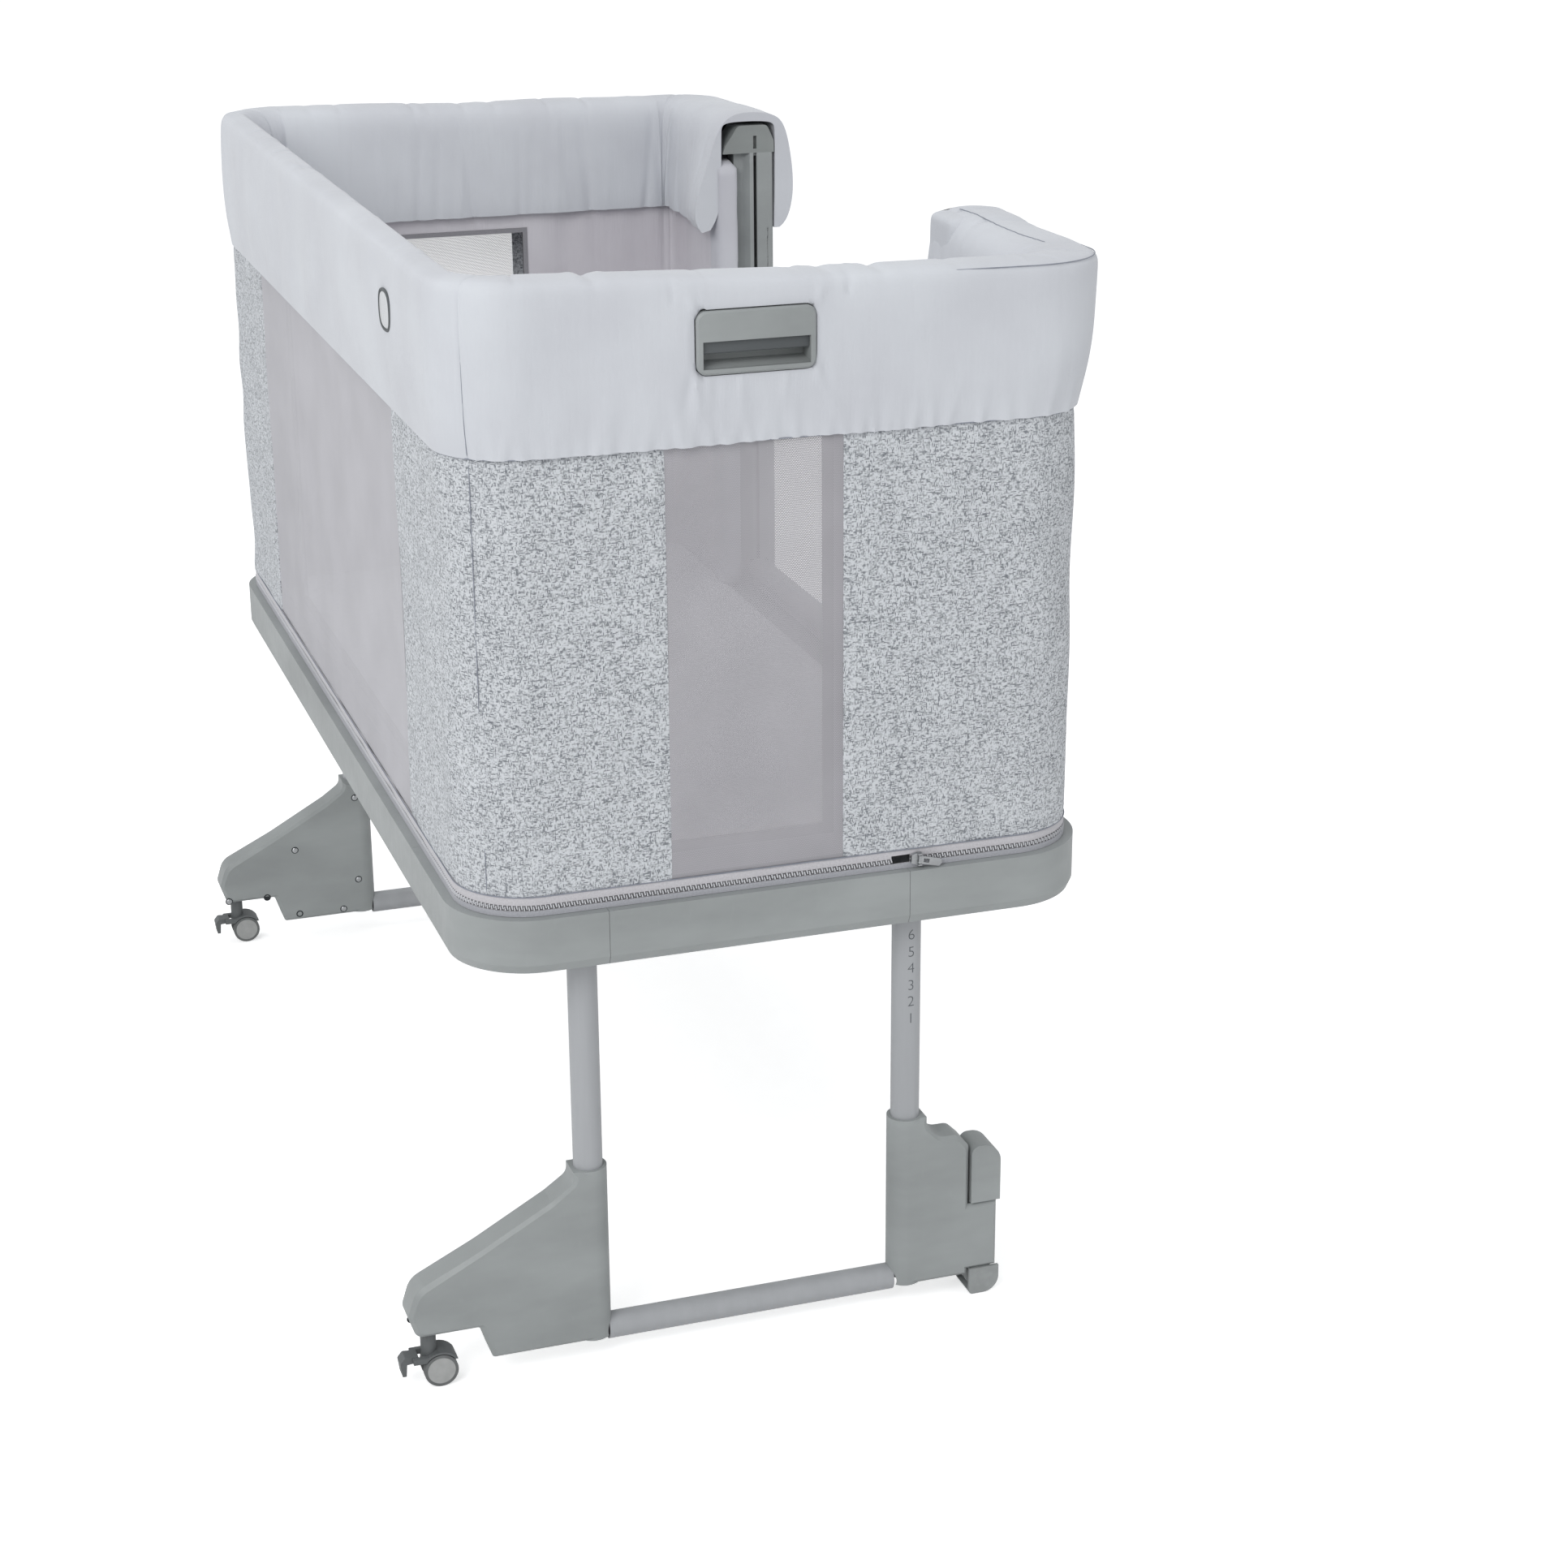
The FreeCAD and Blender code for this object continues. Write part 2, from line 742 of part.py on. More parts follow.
def zip_slider():
    x = legs_middle + zip_park
    middle = (tray_top + fabric_low) / 2
    back = -tray_end + fabric_inset - sew_gap
    front = back - slider_thick
    body = side_prism([(x, middle - slider_width / 3, 0),
                       (x + slider_length / 2, middle - slider_width / 2, 0),
                       (x + slider_length, middle - slider_width / 2, 0),
                       (x + slider_length, middle + slider_width / 2, 0),
                       (x + slider_length / 2, middle + slider_width / 2, 0),
                       (x, middle + slider_width / 3, 0)], front, back)
    lugs = []
    for side in (-1, 1):
        z0, z1 = sorted((middle + side * (pull_width / 2 + lug_gap),
                         middle + side * (pull_width / 2 + lug_gap + lug_thick)))
        lugs.append(box(x + slider_length - 5, x + slider_length - 1,
                        front - pull_stand - pull_pin - 0.6, front + 0.5, z0, z1))
    hinge_x, hinge_y, hinge_z = pull_hinge()
    reach = pull_width / 2 + lug_gap + lug_thick / 2
    pin = upright(hinge_x, hinge_y, hinge_z - reach, hinge_z + reach, pull_pin)
    return fuse(body, pin, *lugs)


def pull_hinge():
    x = legs_middle + zip_park + slider_length - 3
    y = -tray_end + fabric_inset - sew_gap - slider_thick - pull_stand
    return x, y, (tray_top + fabric_low) / 2


def zip_pull():
    """A flat tab with an eyelet, drooping from the barrel that turns on the slider's pin."""
    x, y, z = pull_hinge()
    half = pull_width / 2
    tab = side_prism([(x - pull_heel, z - half, 0), (x + pull_length, z - half, 0),
                      (x + pull_length + 2, z, 0), (x + pull_length, z + half, 0),
                      (x - pull_heel, z + half, 0)], y - pull_thick / 2, y + pull_thick / 2)
    eyelet = box(x + 4, x + 10, y - pull_thick, y + pull_thick, z - half / 2, z + half / 2)
    tab = tab.cut(eyelet)
    tab.rotate(point(x, y, z), point(0, 1, 0), pull_droop)
    barrel = upright(x, y, z - half, z + half, pull_barrel)
    bore = upright(x, y, z - half - 1, z + half + 1, pull_pin + pin_gap)
    return fuse(tab, barrel).cut(bore)


# Leg frames

def leg_tube(x):
    tube = upright(x, -leg_row, leg_bottom, leg_top, leg_radius)
    return tube.cut(upright(x, -leg_row, leg_bottom, leg_top, leg_radius - leg_wall))


def crossbar():
    x0 = leg_left + leg_radius + fit_gap
    x1 = leg_bed - leg_radius - fit_gap
    bar = along_x(-leg_row, crossbar_height, x0, x1, crossbar_radius)
    return bar.cut(along_x(-leg_row, crossbar_height, x0, x1, crossbar_radius - leg_wall))


def caster_foot_outline(inset):
    x = leg_left
    return [(x, foot_bottom + inset, 0), (x - heel_length + inset, foot_bottom + inset, 4),
            (x - heel_length - 12 + inset, nose_height + inset, 4),
            (x - foot_length + 8 + inset, nose_height + inset, 10),
            (x - foot_length + inset, nose_height + 24, 12),
            (x - foot_length + 9 + inset, nose_top - inset, 24),
            (x - 118, nose_top + 33 - inset, 120),
            (x - foot_radius - 24, slope_start - inset, 14),
            (x - foot_radius + inset, collar_top - 12, 12),
            (x - foot_radius + inset, collar_top - inset, 0), (x, collar_top - inset, 0)]


def arm_bay_left():
    return pivot_x - pad_left - 2


def arm_bay_top():
    return pivot_z + arm_length - arm_tip - notch_gap


def arm_foot_outline(inset):
    x = leg_bed
    edge = x + arm_foot_length
    notch = arm_bay_left()
    return [(x, foot_bottom + inset, 0), (notch - inset, foot_bottom + inset, 0),
            (notch - inset, pad_top + 0.3 + inset, 0), (edge - inset, pad_top + 0.3 + inset, 0),
            (edge - inset, arm_bay_top() - inset, 0), (notch - inset, arm_bay_top() - inset, 0),
            (notch - inset, shoulder_height - 14 - inset, 8), (notch - 14, shoulder_height - inset, 10),
            (x + shoulder_length, shoulder_height - inset, 16),
            (x + foot_radius - inset, shoulder_height + 14, 10),
            (x + foot_radius - inset, collar_top - inset, 0), (x, collar_top - inset, 0)]


def foot_body(x, outline, ribs):
    """A hollow moulding with cross ribs, round the socket that the leg tube stands in."""
    y = -leg_row
    depth = foot_radius - foot_chamfer
    levels = [(foot_chamfer, -foot_radius), (0, -depth), (0, depth), (foot_chamfer, foot_radius)]
    skin = Part.makeLoft([side_outline(outline(inset), y + out) for inset, out in levels], True, True)
    sharp = [(u, v, 0) for u, v, radius in outline(foot_wall)]
    core = side_prism(sharp, y - depth, y + depth)
    socket = upright(x, y, foot_bottom, collar_top, foot_radius)
    core = core.cut(socket)
    ribs = [core.common(box(r - foot_rib / 2, r + foot_rib / 2, y - foot_radius, y + foot_radius,
                            foot_bottom, collar_top)) for r in ribs]
    body = fuse(skin.cut(core), socket, *ribs)
    return body.cut(upright(x, y, leg_bottom, collar_top + 1, leg_radius + slide_gap))


def caster_foot():
    body = foot_body(leg_left, caster_foot_outline, (leg_left - 45, leg_left - 80, leg_left - 135))
    y = -leg_row
    socket_half = stem_radius + foot_wall
    socket = box(swivel_x - socket_half, swivel_x + socket_half, y - socket_half, y + socket_half,
                 nose_height, nose_height + stem_length + foot_wall)
    bore = upright(swivel_x, y, nose_height - 1, nose_height + stem_length + 1, stem_radius + pin_gap)
    bar = along_x(y, crossbar_height, leg_left, leg_left + 2 * foot_radius, crossbar_radius + fit_gap)
    return cut(body.fuse(socket), bore, bar)


def arm_foot():
    """The bed-side foot: its outer bay is open towards the bed, for the folded arm."""
    y = -leg_row
    body = foot_body(leg_bed, arm_foot_outline, (leg_bed + 34,))
    slot_half = arm_half + arm_gap
    left = arm_bay_left()
    cheek = foot_radius - foot_chamfer
    wall = box(left - foot_wall, left, y - cheek, y + cheek, foot_bottom + foot_wall, shoulder_height - 18)
    bay = box(left, leg_bed + arm_foot_length + 1, y - slot_half, y + slot_half, 0, arm_bay_top() + 1)
    lugs = []
    for side in (-1, 1):
        ends = sorted((y + side * slot_half, y + side * (foot_radius - pad_shoe - sew_gap)))
        lugs.append(box(pivot_x - lug_half, pivot_x + lug_half, *ends,
                        pivot_z - lug_half, pad_top + 2 * foot_wall))
    body = fuse(fuse(body, wall).cut(bay), *lugs)
    pin = along_y(pivot_x, pivot_z, y - foot_radius, y + foot_radius, arm_pin + pin_gap)
    bar = along_x(y, crossbar_height, leg_bed - 2 * foot_radius, leg_bed, crossbar_radius + fit_gap)
    return cut(body, pin, bar)


def split_shell(body):
    """The open shell of a foot and the inner cover that closes it."""
    y = -leg_row + foot_radius - foot_chamfer
    outside = box(-far_away, far_away, -far_away, y, -1, far_away)
    inside = box(-far_away, far_away, y, far_away, -1, far_away)
    return body.common(outside), body.common(inside)


def arm_hinge_pin():
    y = -leg_row
    reach = foot_radius - pad_shoe - sew_gap
    return along_y(pivot_x, pivot_z, y - reach, y + reach, arm_pin)


def rubber_pad():
    """A shoe under the bed-side foot, slotted for the arm and rounded where the arm turns."""
    y = -leg_row
    left = pivot_x - pad_left
    right = pivot_x + pad_radius
    shape = [(left, 0, 4), (right, 0, 17.5), (right, pad_top, 0), (left, pad_top, 0)]
    shoe = side_prism(shape, y - foot_radius, y + foot_radius)
    half = foot_radius - pad_shoe
    return shoe.cut(box(left - 1, right + 1, y - half, y + half, pad_floor, pad_top + 1))


def folding_arm():
    """A lever from its eye up to the tip that shows in the foot's notch and stands on the floor when out."""
    y = -leg_row
    tip_low = pivot_z + arm_length - arm_tip
    tip_high = pivot_z + arm_length
    bar = box(pivot_x - 12.5, pivot_x + 13, y - arm_half, y + arm_half, pivot_z, tip_low + 5)
    eye = along_y(pivot_x, pivot_z, y - arm_half, y + arm_half, arm_eye)
    tip = side_prism([(pivot_x - 12.8, tip_low, 0), (pivot_x + pad_radius, tip_low, 0),
                      (pivot_x + pad_radius, tip_high, 20), (pivot_x - 12.8, tip_high, 9)],
                     y - foot_radius, y + foot_radius)
    hole = along_y(pivot_x, pivot_z, y - foot_radius, y + foot_radius, arm_pin + pin_gap)
    return cut(fuse(bar, eye, tip), hole)


# Casters

def caster_fork():
    """Stem, neck and a hood over both wheels, with ears for the pedal's pin."""
    y = -leg_row
    inner = wheel_radius + hood_gap
    outer = inner + hood_wall
    hood = along_y(axle_x, wheel_radius, y - hood_half, y + hood_half, outer)
    keep = box(axle_x - outer, axle_x + outer, y - hood_half, y + hood_half,
               wheel_radius + hood_low, wheel_radius + outer)
    hood = hood.common(keep)
    room = along_y(axle_x, wheel_radius, y - hood_half - 1, y + hood_half + 1, inner)
    web_half = wheel_spacing / 2 - wheel_width / 2 - hood_gap / 2
    web = side_prism([(axle_x - 6, wheel_radius - 5, 0), (axle_x + 6, wheel_radius - 5, 0),
                      (axle_x + 15, wheel_radius + outer - 8, 0), (axle_x - 15, wheel_radius + outer - 8, 0)],
                     y - web_half, y + web_half)
    neck = upright(swivel_x, y, wheel_radius + hood_low, nose_height - swivel_gap, neck_radius)
    stem = upright(swivel_x, y, nose_height - swivel_gap - 1, nose_height + stem_length, stem_radius)
    pin_x, pin_z = pedal_hinge()
    ears = []
    for side in (-1, 1):
        ends = sorted((y + side * (pedal_half + swivel_gap), y + side * hood_half))
        ears.append(side_prism([(pin_x - ear_half, pin_z - ear_half, 0), (axle_x - 8, pin_z - ear_half, 0),
                                (axle_x - 8, pin_z + ear_half, 0), (pin_x - ear_half, pin_z + ear_half, 0)],
                               *ends))
    body = fuse(fuse(hood, neck, *ears).cut(room), web, stem)
    axle = along_y(axle_x, wheel_radius, y - hood_half, y + hood_half, axle_radius + pin_gap)
    pin = along_y(pin_x, pin_z, y - hood_half, y + hood_half, pedal_pin + pin_gap)
    return cut(body, axle, pin)


def pedal_hinge():
    return axle_x - pedal_reach, wheel_radius + pedal_height


def caster_wheels():
    """Twin wheels on one axle, spun from an outline of (distance from the middle, radius)."""
    y = -leg_row
    inner = wheel_spacing / 2 - wheel_width / 2
    outer = wheel_spacing / 2 + wheel_width / 2
    outline = [(-outer, 0), (outer, 0), (outer, wheel_radius), (inner, wheel_radius),
               (inner, axle_radius), (-inner, axle_radius), (-inner, wheel_radius), (-outer, wheel_radius)]
    wire = rounded_wire([(u, v, 0) for u, v in outline], lambda u, v: point(axle_x, y + u, wheel_radius + v))
    return Part.Face(wire).revolve(point(axle_x, y, wheel_radius), point(0, 1, 0), 360)


def brake_pedal():
    """A bent tread on a cross pin, in front of the wheels."""
    y = -leg_row
    x, z = pedal_hinge()
    shape = [(x + 3, z + 3, 0), (x - 11, z + 4, 2), (x - 16, z - 2, 3), (x - 14, z - 17, 0),
             (x - 10, z - 17, 0), (x - 9, z - 4, 0), (x + 3, z - 3, 0)]
    pedal = side_prism(shape, y - pedal_half, y + pedal_half)
    pin = along_y(x, z, y - hood_half, y + hood_half, pedal_pin)
    return fuse(pedal, pin)


# Drop side

def drop_rail():
    low = rail_low
    high = rail_low + rail_height
    left = post_x - rail_width / 2
    bed = post_x + rail_width / 2
    half = post_face - rail_end_gap
    outer = side_prism([(left, low, 8), (bed, low, 8), (bed, high, 10), (left, high, 10)], -half, half)
    t = rail_wall
    inner = side_prism([(left + t, low + t, 6.5), (bed - t, low + t, 6.5), (bed - t, high - t, 8.5),
                        (left + t, high - t, 8.5)], -half, half)
    return outer.cut(inner)


def drop_carriage():
    """An end plate on the rail, a web through the post's slot and a runner in its channel."""
    half = post_face - rail_end_gap
    plate = box(post_x - rail_width / 2 + 2, post_x + rail_width / 2 - 2, half, half + carriage_plate,
                rail_low + 1, rail_low + rail_height - 1)
    t = rail_wall + sew_gap
    plug = box(post_x - rail_width / 2 + 8, post_x + rail_width / 2 - 8, half - 12, half,
               rail_low + t, rail_low + rail_height - t)
    web_half = slot_width / 2 - 2 * runner_gap
    runner_y = post_face + post_plate + runner_gap
    web = box(post_x - web_half, post_x + web_half, half + carriage_plate, runner_y,
              rail_low, rail_low + runner_height)
    runner_half = channel_width / 2 - runner_gap
    runner = box(post_x - runner_half, post_x + runner_half, runner_y,
                 runner_y + channel_depth - 2 * runner_gap, rail_low, rail_low + runner_height)
    return fuse(plate, plug, web, runner)


def drop_fabric():
    """The lowered side's cloth, folded in layers between the tray and the rail."""
    low = tray_top + sew_gap
    high = rail_low - sew_gap
    layer = (high - low) / fold_count
    left = post_x - fold_width / 2
    bed = post_x + fold_width / 2
    half = post_face - rail_end_gap
    shape = []
    for k in range(fold_count):
        z = low + k * layer
        shape += [(bed - 3, z, 0), (bed, z + layer / 4, 0), (bed, z + layer * 3 / 4, 0)]
    shape.append((bed - 3, high, 0))
    for k in range(fold_count):
        z = high - k * layer
        shape += [(left + 3, z, 0), (left, z - layer / 4, 0), (left, z - layer * 3 / 4, 0)]
    shape.append((left + 3, low, 0))
    return side_prism(shape, -half, half)


def main():
    os.makedirs("parts", exist_ok=True)

    for name, piece in tray_pieces().items():
        save(name, piece)
    save("mattress_board", mattress_board())
    save("mattress", mattress())

    save("rim_hoop", rim_hoop())
    save("post_far", far_post())
    save("post_near", mirrored(far_post()))
    save("post_cap_far", far_cap())
    save("post_cap_near", mirrored(far_cap()))

    for name, panel in fabric_corners().items():
        save(name, panel)
    save("net_left", side_net())
    band_near, band_left = bands()
    save("band_left", band_left)
    save("inner_lining", inner_lining())
    save("zip_tape", zip_tape())
    save("zip_slider", zip_slider())
    save("zip_pull", zip_pull())

    caster_shell, caster_cover = split_shell(caster_foot())
    arm_shell, arm_cover = split_shell(arm_foot())
    ends = {
        "guide_frame": [guide_frame()],
        "handle_housing": [handle_housing()],
        "handle_trigger": [handle_trigger()],
        "net": [end_net()],
        "band": [band_near],
        "leg_tubes": [leg_tube(leg_left), leg_tube(leg_bed)],
        "crossbar": [crossbar()],
        "caster_foot": [caster_shell],
        "arm_foot": [arm_shell],
        "foot_covers": [caster_cover, arm_cover],
        "arm_hinge_pin": [arm_hinge_pin()],
        "rubber_pad": [rubber_pad()],
        "folding_arm": [folding_arm()],
        "caster_fork": [caster_fork()],
        "caster_wheels": [caster_wheels()],
        "brake_pedal": [brake_pedal()],
    }
    for name, solids in ends.items():
        save(name + "_near", *solids)
        save(name + "_far", *[mirrored(s) for s in solids])

    save("drop_rail", drop_rail())
    save("drop_carriages", drop_carriage(), mirrored(drop_carriage()))
    save("drop_fabric", drop_fabric())


main()
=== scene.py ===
import json
import math
import bmesh
import bpy
import numpy as np
from mathutils import Matrix, Vector

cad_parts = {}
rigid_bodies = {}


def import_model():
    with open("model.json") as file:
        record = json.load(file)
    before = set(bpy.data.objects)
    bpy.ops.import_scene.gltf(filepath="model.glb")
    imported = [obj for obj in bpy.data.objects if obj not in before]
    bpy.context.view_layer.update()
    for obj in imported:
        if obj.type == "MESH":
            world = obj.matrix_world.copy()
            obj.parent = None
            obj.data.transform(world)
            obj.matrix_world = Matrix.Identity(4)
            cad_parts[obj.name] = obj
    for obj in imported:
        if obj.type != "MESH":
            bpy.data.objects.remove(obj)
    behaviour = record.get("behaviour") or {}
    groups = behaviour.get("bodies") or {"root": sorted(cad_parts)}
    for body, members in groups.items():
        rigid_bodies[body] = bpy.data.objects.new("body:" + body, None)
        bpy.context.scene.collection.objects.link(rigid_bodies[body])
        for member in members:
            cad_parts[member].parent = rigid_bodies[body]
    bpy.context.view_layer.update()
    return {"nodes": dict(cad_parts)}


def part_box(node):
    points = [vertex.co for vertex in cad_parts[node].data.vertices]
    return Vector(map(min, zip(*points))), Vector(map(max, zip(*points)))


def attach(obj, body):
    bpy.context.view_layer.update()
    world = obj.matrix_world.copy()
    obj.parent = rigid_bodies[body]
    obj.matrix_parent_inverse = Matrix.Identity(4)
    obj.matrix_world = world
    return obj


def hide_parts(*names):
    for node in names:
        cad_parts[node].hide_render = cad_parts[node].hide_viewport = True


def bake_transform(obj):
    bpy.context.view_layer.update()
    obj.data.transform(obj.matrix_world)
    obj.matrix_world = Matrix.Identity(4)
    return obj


for leftover in list(bpy.data.objects):
    bpy.data.objects.remove(leftover)
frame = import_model()
nodes = frame["nodes"]
scene = bpy.context.scene
dice = np.random.default_rng(7)
print("frame loaded:", len(nodes), "nodes")


# colour and node helpers

def tone(red, green, blue):
    # screen colour 0..255 to the linear colour a shader takes
    share = np.array([red, green, blue]) / 255
    linear = np.where(share <= 0.04045, share / 12.92, ((share + 0.055) / 1.055) ** 2.4)
    return (*linear.tolist(), 1.0)


def shade(colour, factor):
    # the same hue, each channel times the factor
    return tuple(min(1.0, c * factor) for c in colour[:3]) + (1.0,)


class Wire:
    # a shader socket that adds Math nodes when it is used in an expression

    def __init__(self, finish, socket):
        self.finish = finish
        self.socket = socket

    def sum(self, operation, *values):
        return self.finish.add("Math", {"operation": operation}, dict(enumerate(values)))

    def __add__(self, other):
        return self.sum("ADD", self, other)

    def __sub__(self, other):
        return self.sum("SUBTRACT", self, other)

    def __rsub__(self, other):
        return self.sum("SUBTRACT", other, self)

    def __mul__(self, other):
        return self.sum("MULTIPLY", self, other)

    def __truediv__(self, other):
        return self.sum("DIVIDE", self, other)

    def __gt__(self, other):
        return self.sum("GREATER_THAN", self, other)

    def __lt__(self, other):
        return self.sum("LESS_THAN", self, other)

    def floor(self):
        return self.sum("FLOOR", self)

    def fract(self):
        return self.sum("FRACT", self)

    def size(self):
        return self.sum("ABSOLUTE", self)

    def wave(self):
        return self.sum("SINE", self)

    def clamped(self):
        return self.finish.add("Clamp", {}, {0: self, 1: 0.0, 2: 1.0})

    __radd__ = __add__
    __rmul__ = __mul__


class Finish:
    # one material and the node tree behind it

    def __init__(self, name):
        self.material = bpy.data.materials.new(name)
        self.material.use_nodes = True
        self.tree = self.material.node_tree
        self.tree.nodes.clear()

    def add(self, kind, settings, values, out=0):
        node = self.tree.nodes.new("ShaderNode" + kind)
        for key, value in settings.items():
            if key == "stops":
                ramp = node.color_ramp.elements
                while len(ramp) < len(value):
                    ramp.new(0.5)
                for stop, (place, colour) in zip(ramp, value):
                    stop.position = place
                    stop.color = colour
            else:
                setattr(node, key, value)
        for key, value in values.items():
            if isinstance(value, Wire):
                self.tree.links.new(value.socket, node.inputs[key])
            else:
                node.inputs[key].default_value = value
        return Wire(self, node.outputs[out]) if len(node.outputs) else None

    def place(self, scale=(1, 1, 1), turn=(0, 0, 0)):
        # object coordinates, stretched or turned
        where = self.add("TexCoord", {}, {}, "Object")
        return self.add("Mapping", {}, {"Vector": where, "Scale": scale, "Rotation": turn})

    def cloth(self):
        # metres along and up the cloth, from the piece's own map
        where = self.add("UVMap", {"uv_map": "Cloth"}, {})
        return self.parts(where)

    def parts(self, vector):
        node = self.tree.nodes.new("ShaderNodeSeparateXYZ")
        self.tree.links.new(vector.socket, node.inputs[0])
        return [Wire(self, node.outputs[k]) for k in range(3)]

    def join(self, x, y, z=0.0):
        return self.add("CombineXYZ", {}, {0: x, 1: y, 2: z})

    def noise(self, vector, scale, detail=2.0, roughness=0.5):
        return self.add("TexNoise", {},
                        {"Vector": vector, "Scale": scale, "Detail": detail, "Roughness": roughness})

    def mix(self, share, first, second):
        return self.add("Mix", {"data_type": "RGBA", "clamp_factor": True},
                        {0: share, 6: first, 7: second}, 2)

    def remap(self, value, low, high, first=0.0, second=1.0):
        return self.add("MapRange", {}, {0: value, 1: low, 2: high, 3: first, 4: second})

    def bump(self, height, distance, strength=1.0, normal=None):
        values = {"Height": height, "Distance": distance, "Strength": strength}
        if normal is not None:
            values["Normal"] = normal
        return self.add("Bump", {}, values)

    def surface(self, **values):
        # Principled surface; a name such as baseColor stands for Base Color
        words = {"baseColor": "Base Color", "roughness": "Roughness", "metallic": "Metallic",
                 "alpha": "Alpha", "normal": "Normal", "sheen": "Sheen Weight",
                 "sheenRoughness": "Sheen Roughness",
                 "specular": "Specular IOR Level", "coat": "Coat Weight", "coatRoughness": "Coat Roughness"}
        shader = self.add("BsdfPrincipled", {}, {words[key]: value for key, value in values.items()})
        self.add("OutputMaterial", {}, {0: shader})
        return self.material


# materials

fullTurn = 6.2832
plasticLook = {"wear": 0.10, "grain": 1500.0, "grainDepth": 0.00006}


def mouldedPlastic(name, colour, roughness=0.5, grain=1.0):
    # spark-eroded moulding: fine grain, faint flow marks and uneven gloss
    f = Finish(name)
    at = f.place()
    fine = f.noise(at, plasticLook["grain"], 2.0)
    flow = f.noise(f.place((1, 1, 2.5)), 6.0, 4.0, 0.55)
    scuff = f.noise(f.place((3, 3, 1)), 45.0, 5.0, 0.6)
    pale = shade(colour, 1.13)
    deep = shade(colour, 0.90)
    paint = f.mix(f.remap(flow, 0.30, 0.70), deep, pale)
    paint = f.mix(f.remap(scuff, 0.58, 0.76, 0.0, plasticLook["wear"] * 2), paint, pale)
    rough = f.remap(fine, 0.3, 0.7, roughness - 0.05, roughness + 0.07) \
        + f.remap(scuff, 0.4, 0.7, -0.03, 0.05)
    relief = f.bump(fine, plasticLook["grainDepth"] * grain, 0.6)
    relief = f.bump(flow, 0.0006, 0.25, relief)
    return f.surface(baseColor=paint, roughness=rough, normal=relief, specular=0.45)


def paintedTube(name, colour):
    # powder-coated tube: orange peel and a little rub along its length
    f = Finish(name)
    peel = f.noise(f.place(), 420.0, 2.0)
    rub = f.noise(f.place((60, 60, 3)), 1.0, 4.0, 0.6)
    pale = shade(colour, 1.10)
    paint = f.mix(f.remap(rub, 0.35, 0.75), colour, pale)
    rough = f.remap(rub, 0.3, 0.7, 0.34, 0.46)
    relief = f.bump(peel, 0.00012, 0.5)
    return f.surface(baseColor=paint, roughness=rough, normal=relief, coat=0.15, coatRoughness=0.25)


def bareMetal(name, colour, roughness=0.32):
    f = Finish(name)
    brushed = f.noise(f.place((40, 40, 900)), 1.0, 3.0)
    paint = f.mix(f.remap(brushed, 0.3, 0.7), shade(colour, 0.8), colour)
    rough = f.remap(brushed, 0.3, 0.7, roughness - 0.06, roughness + 0.1)
    return f.surface(baseColor=paint, roughness=rough, metallic=0.9, normal=f.bump(brushed, 0.00003, 0.4))


def rubberLook(name, colour):
    f = Finish(name)
    speck = f.noise(f.place(), 900.0, 3.0)
    dust = f.noise(f.place(), 60.0, 4.0)
    paint = f.mix(f.remap(dust, 0.4, 0.75, 0.0, 0.5), colour, shade(colour, 1.5))
    return f.surface(baseColor=paint, roughness=f.remap(dust, 0.3, 0.7, 0.62, 0.8),
                     normal=f.bump(speck, 0.0001, 0.5), specular=0.35)


axle = {"x": -0.3286, "z": 0.0175}


def wheelLook(name, hub, tyre, radius):
    # the hub and the tyre of one moulded wheel, told apart by distance from the axle
    f = Finish(name)
    x, y, z = f.parts(f.add("TexCoord", {}, {}, "Object"))
    dx = x - axle["x"]
    dz = z - axle["z"]
    square = dx * dx + dz * dz
    reach = square.sum("SQRT", square)
    rim = f.remap(reach, radius - 0.0003, radius + 0.0003)
    fine = f.noise(f.place(), 1200.0, 2.0)
    dust = f.noise(f.place(), 120.0, 4.0)
    paint = f.mix(rim, f.mix(f.remap(dust, 0.3, 0.7), hub, shade(hub, 0.86)),
                  f.mix(f.remap(dust, 0.3, 0.7), tyre, shade(tyre, 1.3)))
    rough = f.remap(rim, 0.0, 1.0, 0.42, 0.68) + f.remap(fine, 0.3, 0.7, -0.04, 0.04)
    return f.surface(baseColor=paint, roughness=rough, normal=f.bump(fine, 0.00006, 0.5), specular=0.4)


melangeLook = {"pitch": 0.00105, "strand": 0.0048, "light": tone(219, 222, 226), "dark": tone(122, 126, 132),
               "cutLow": 0.33, "cutHigh": 0.50}


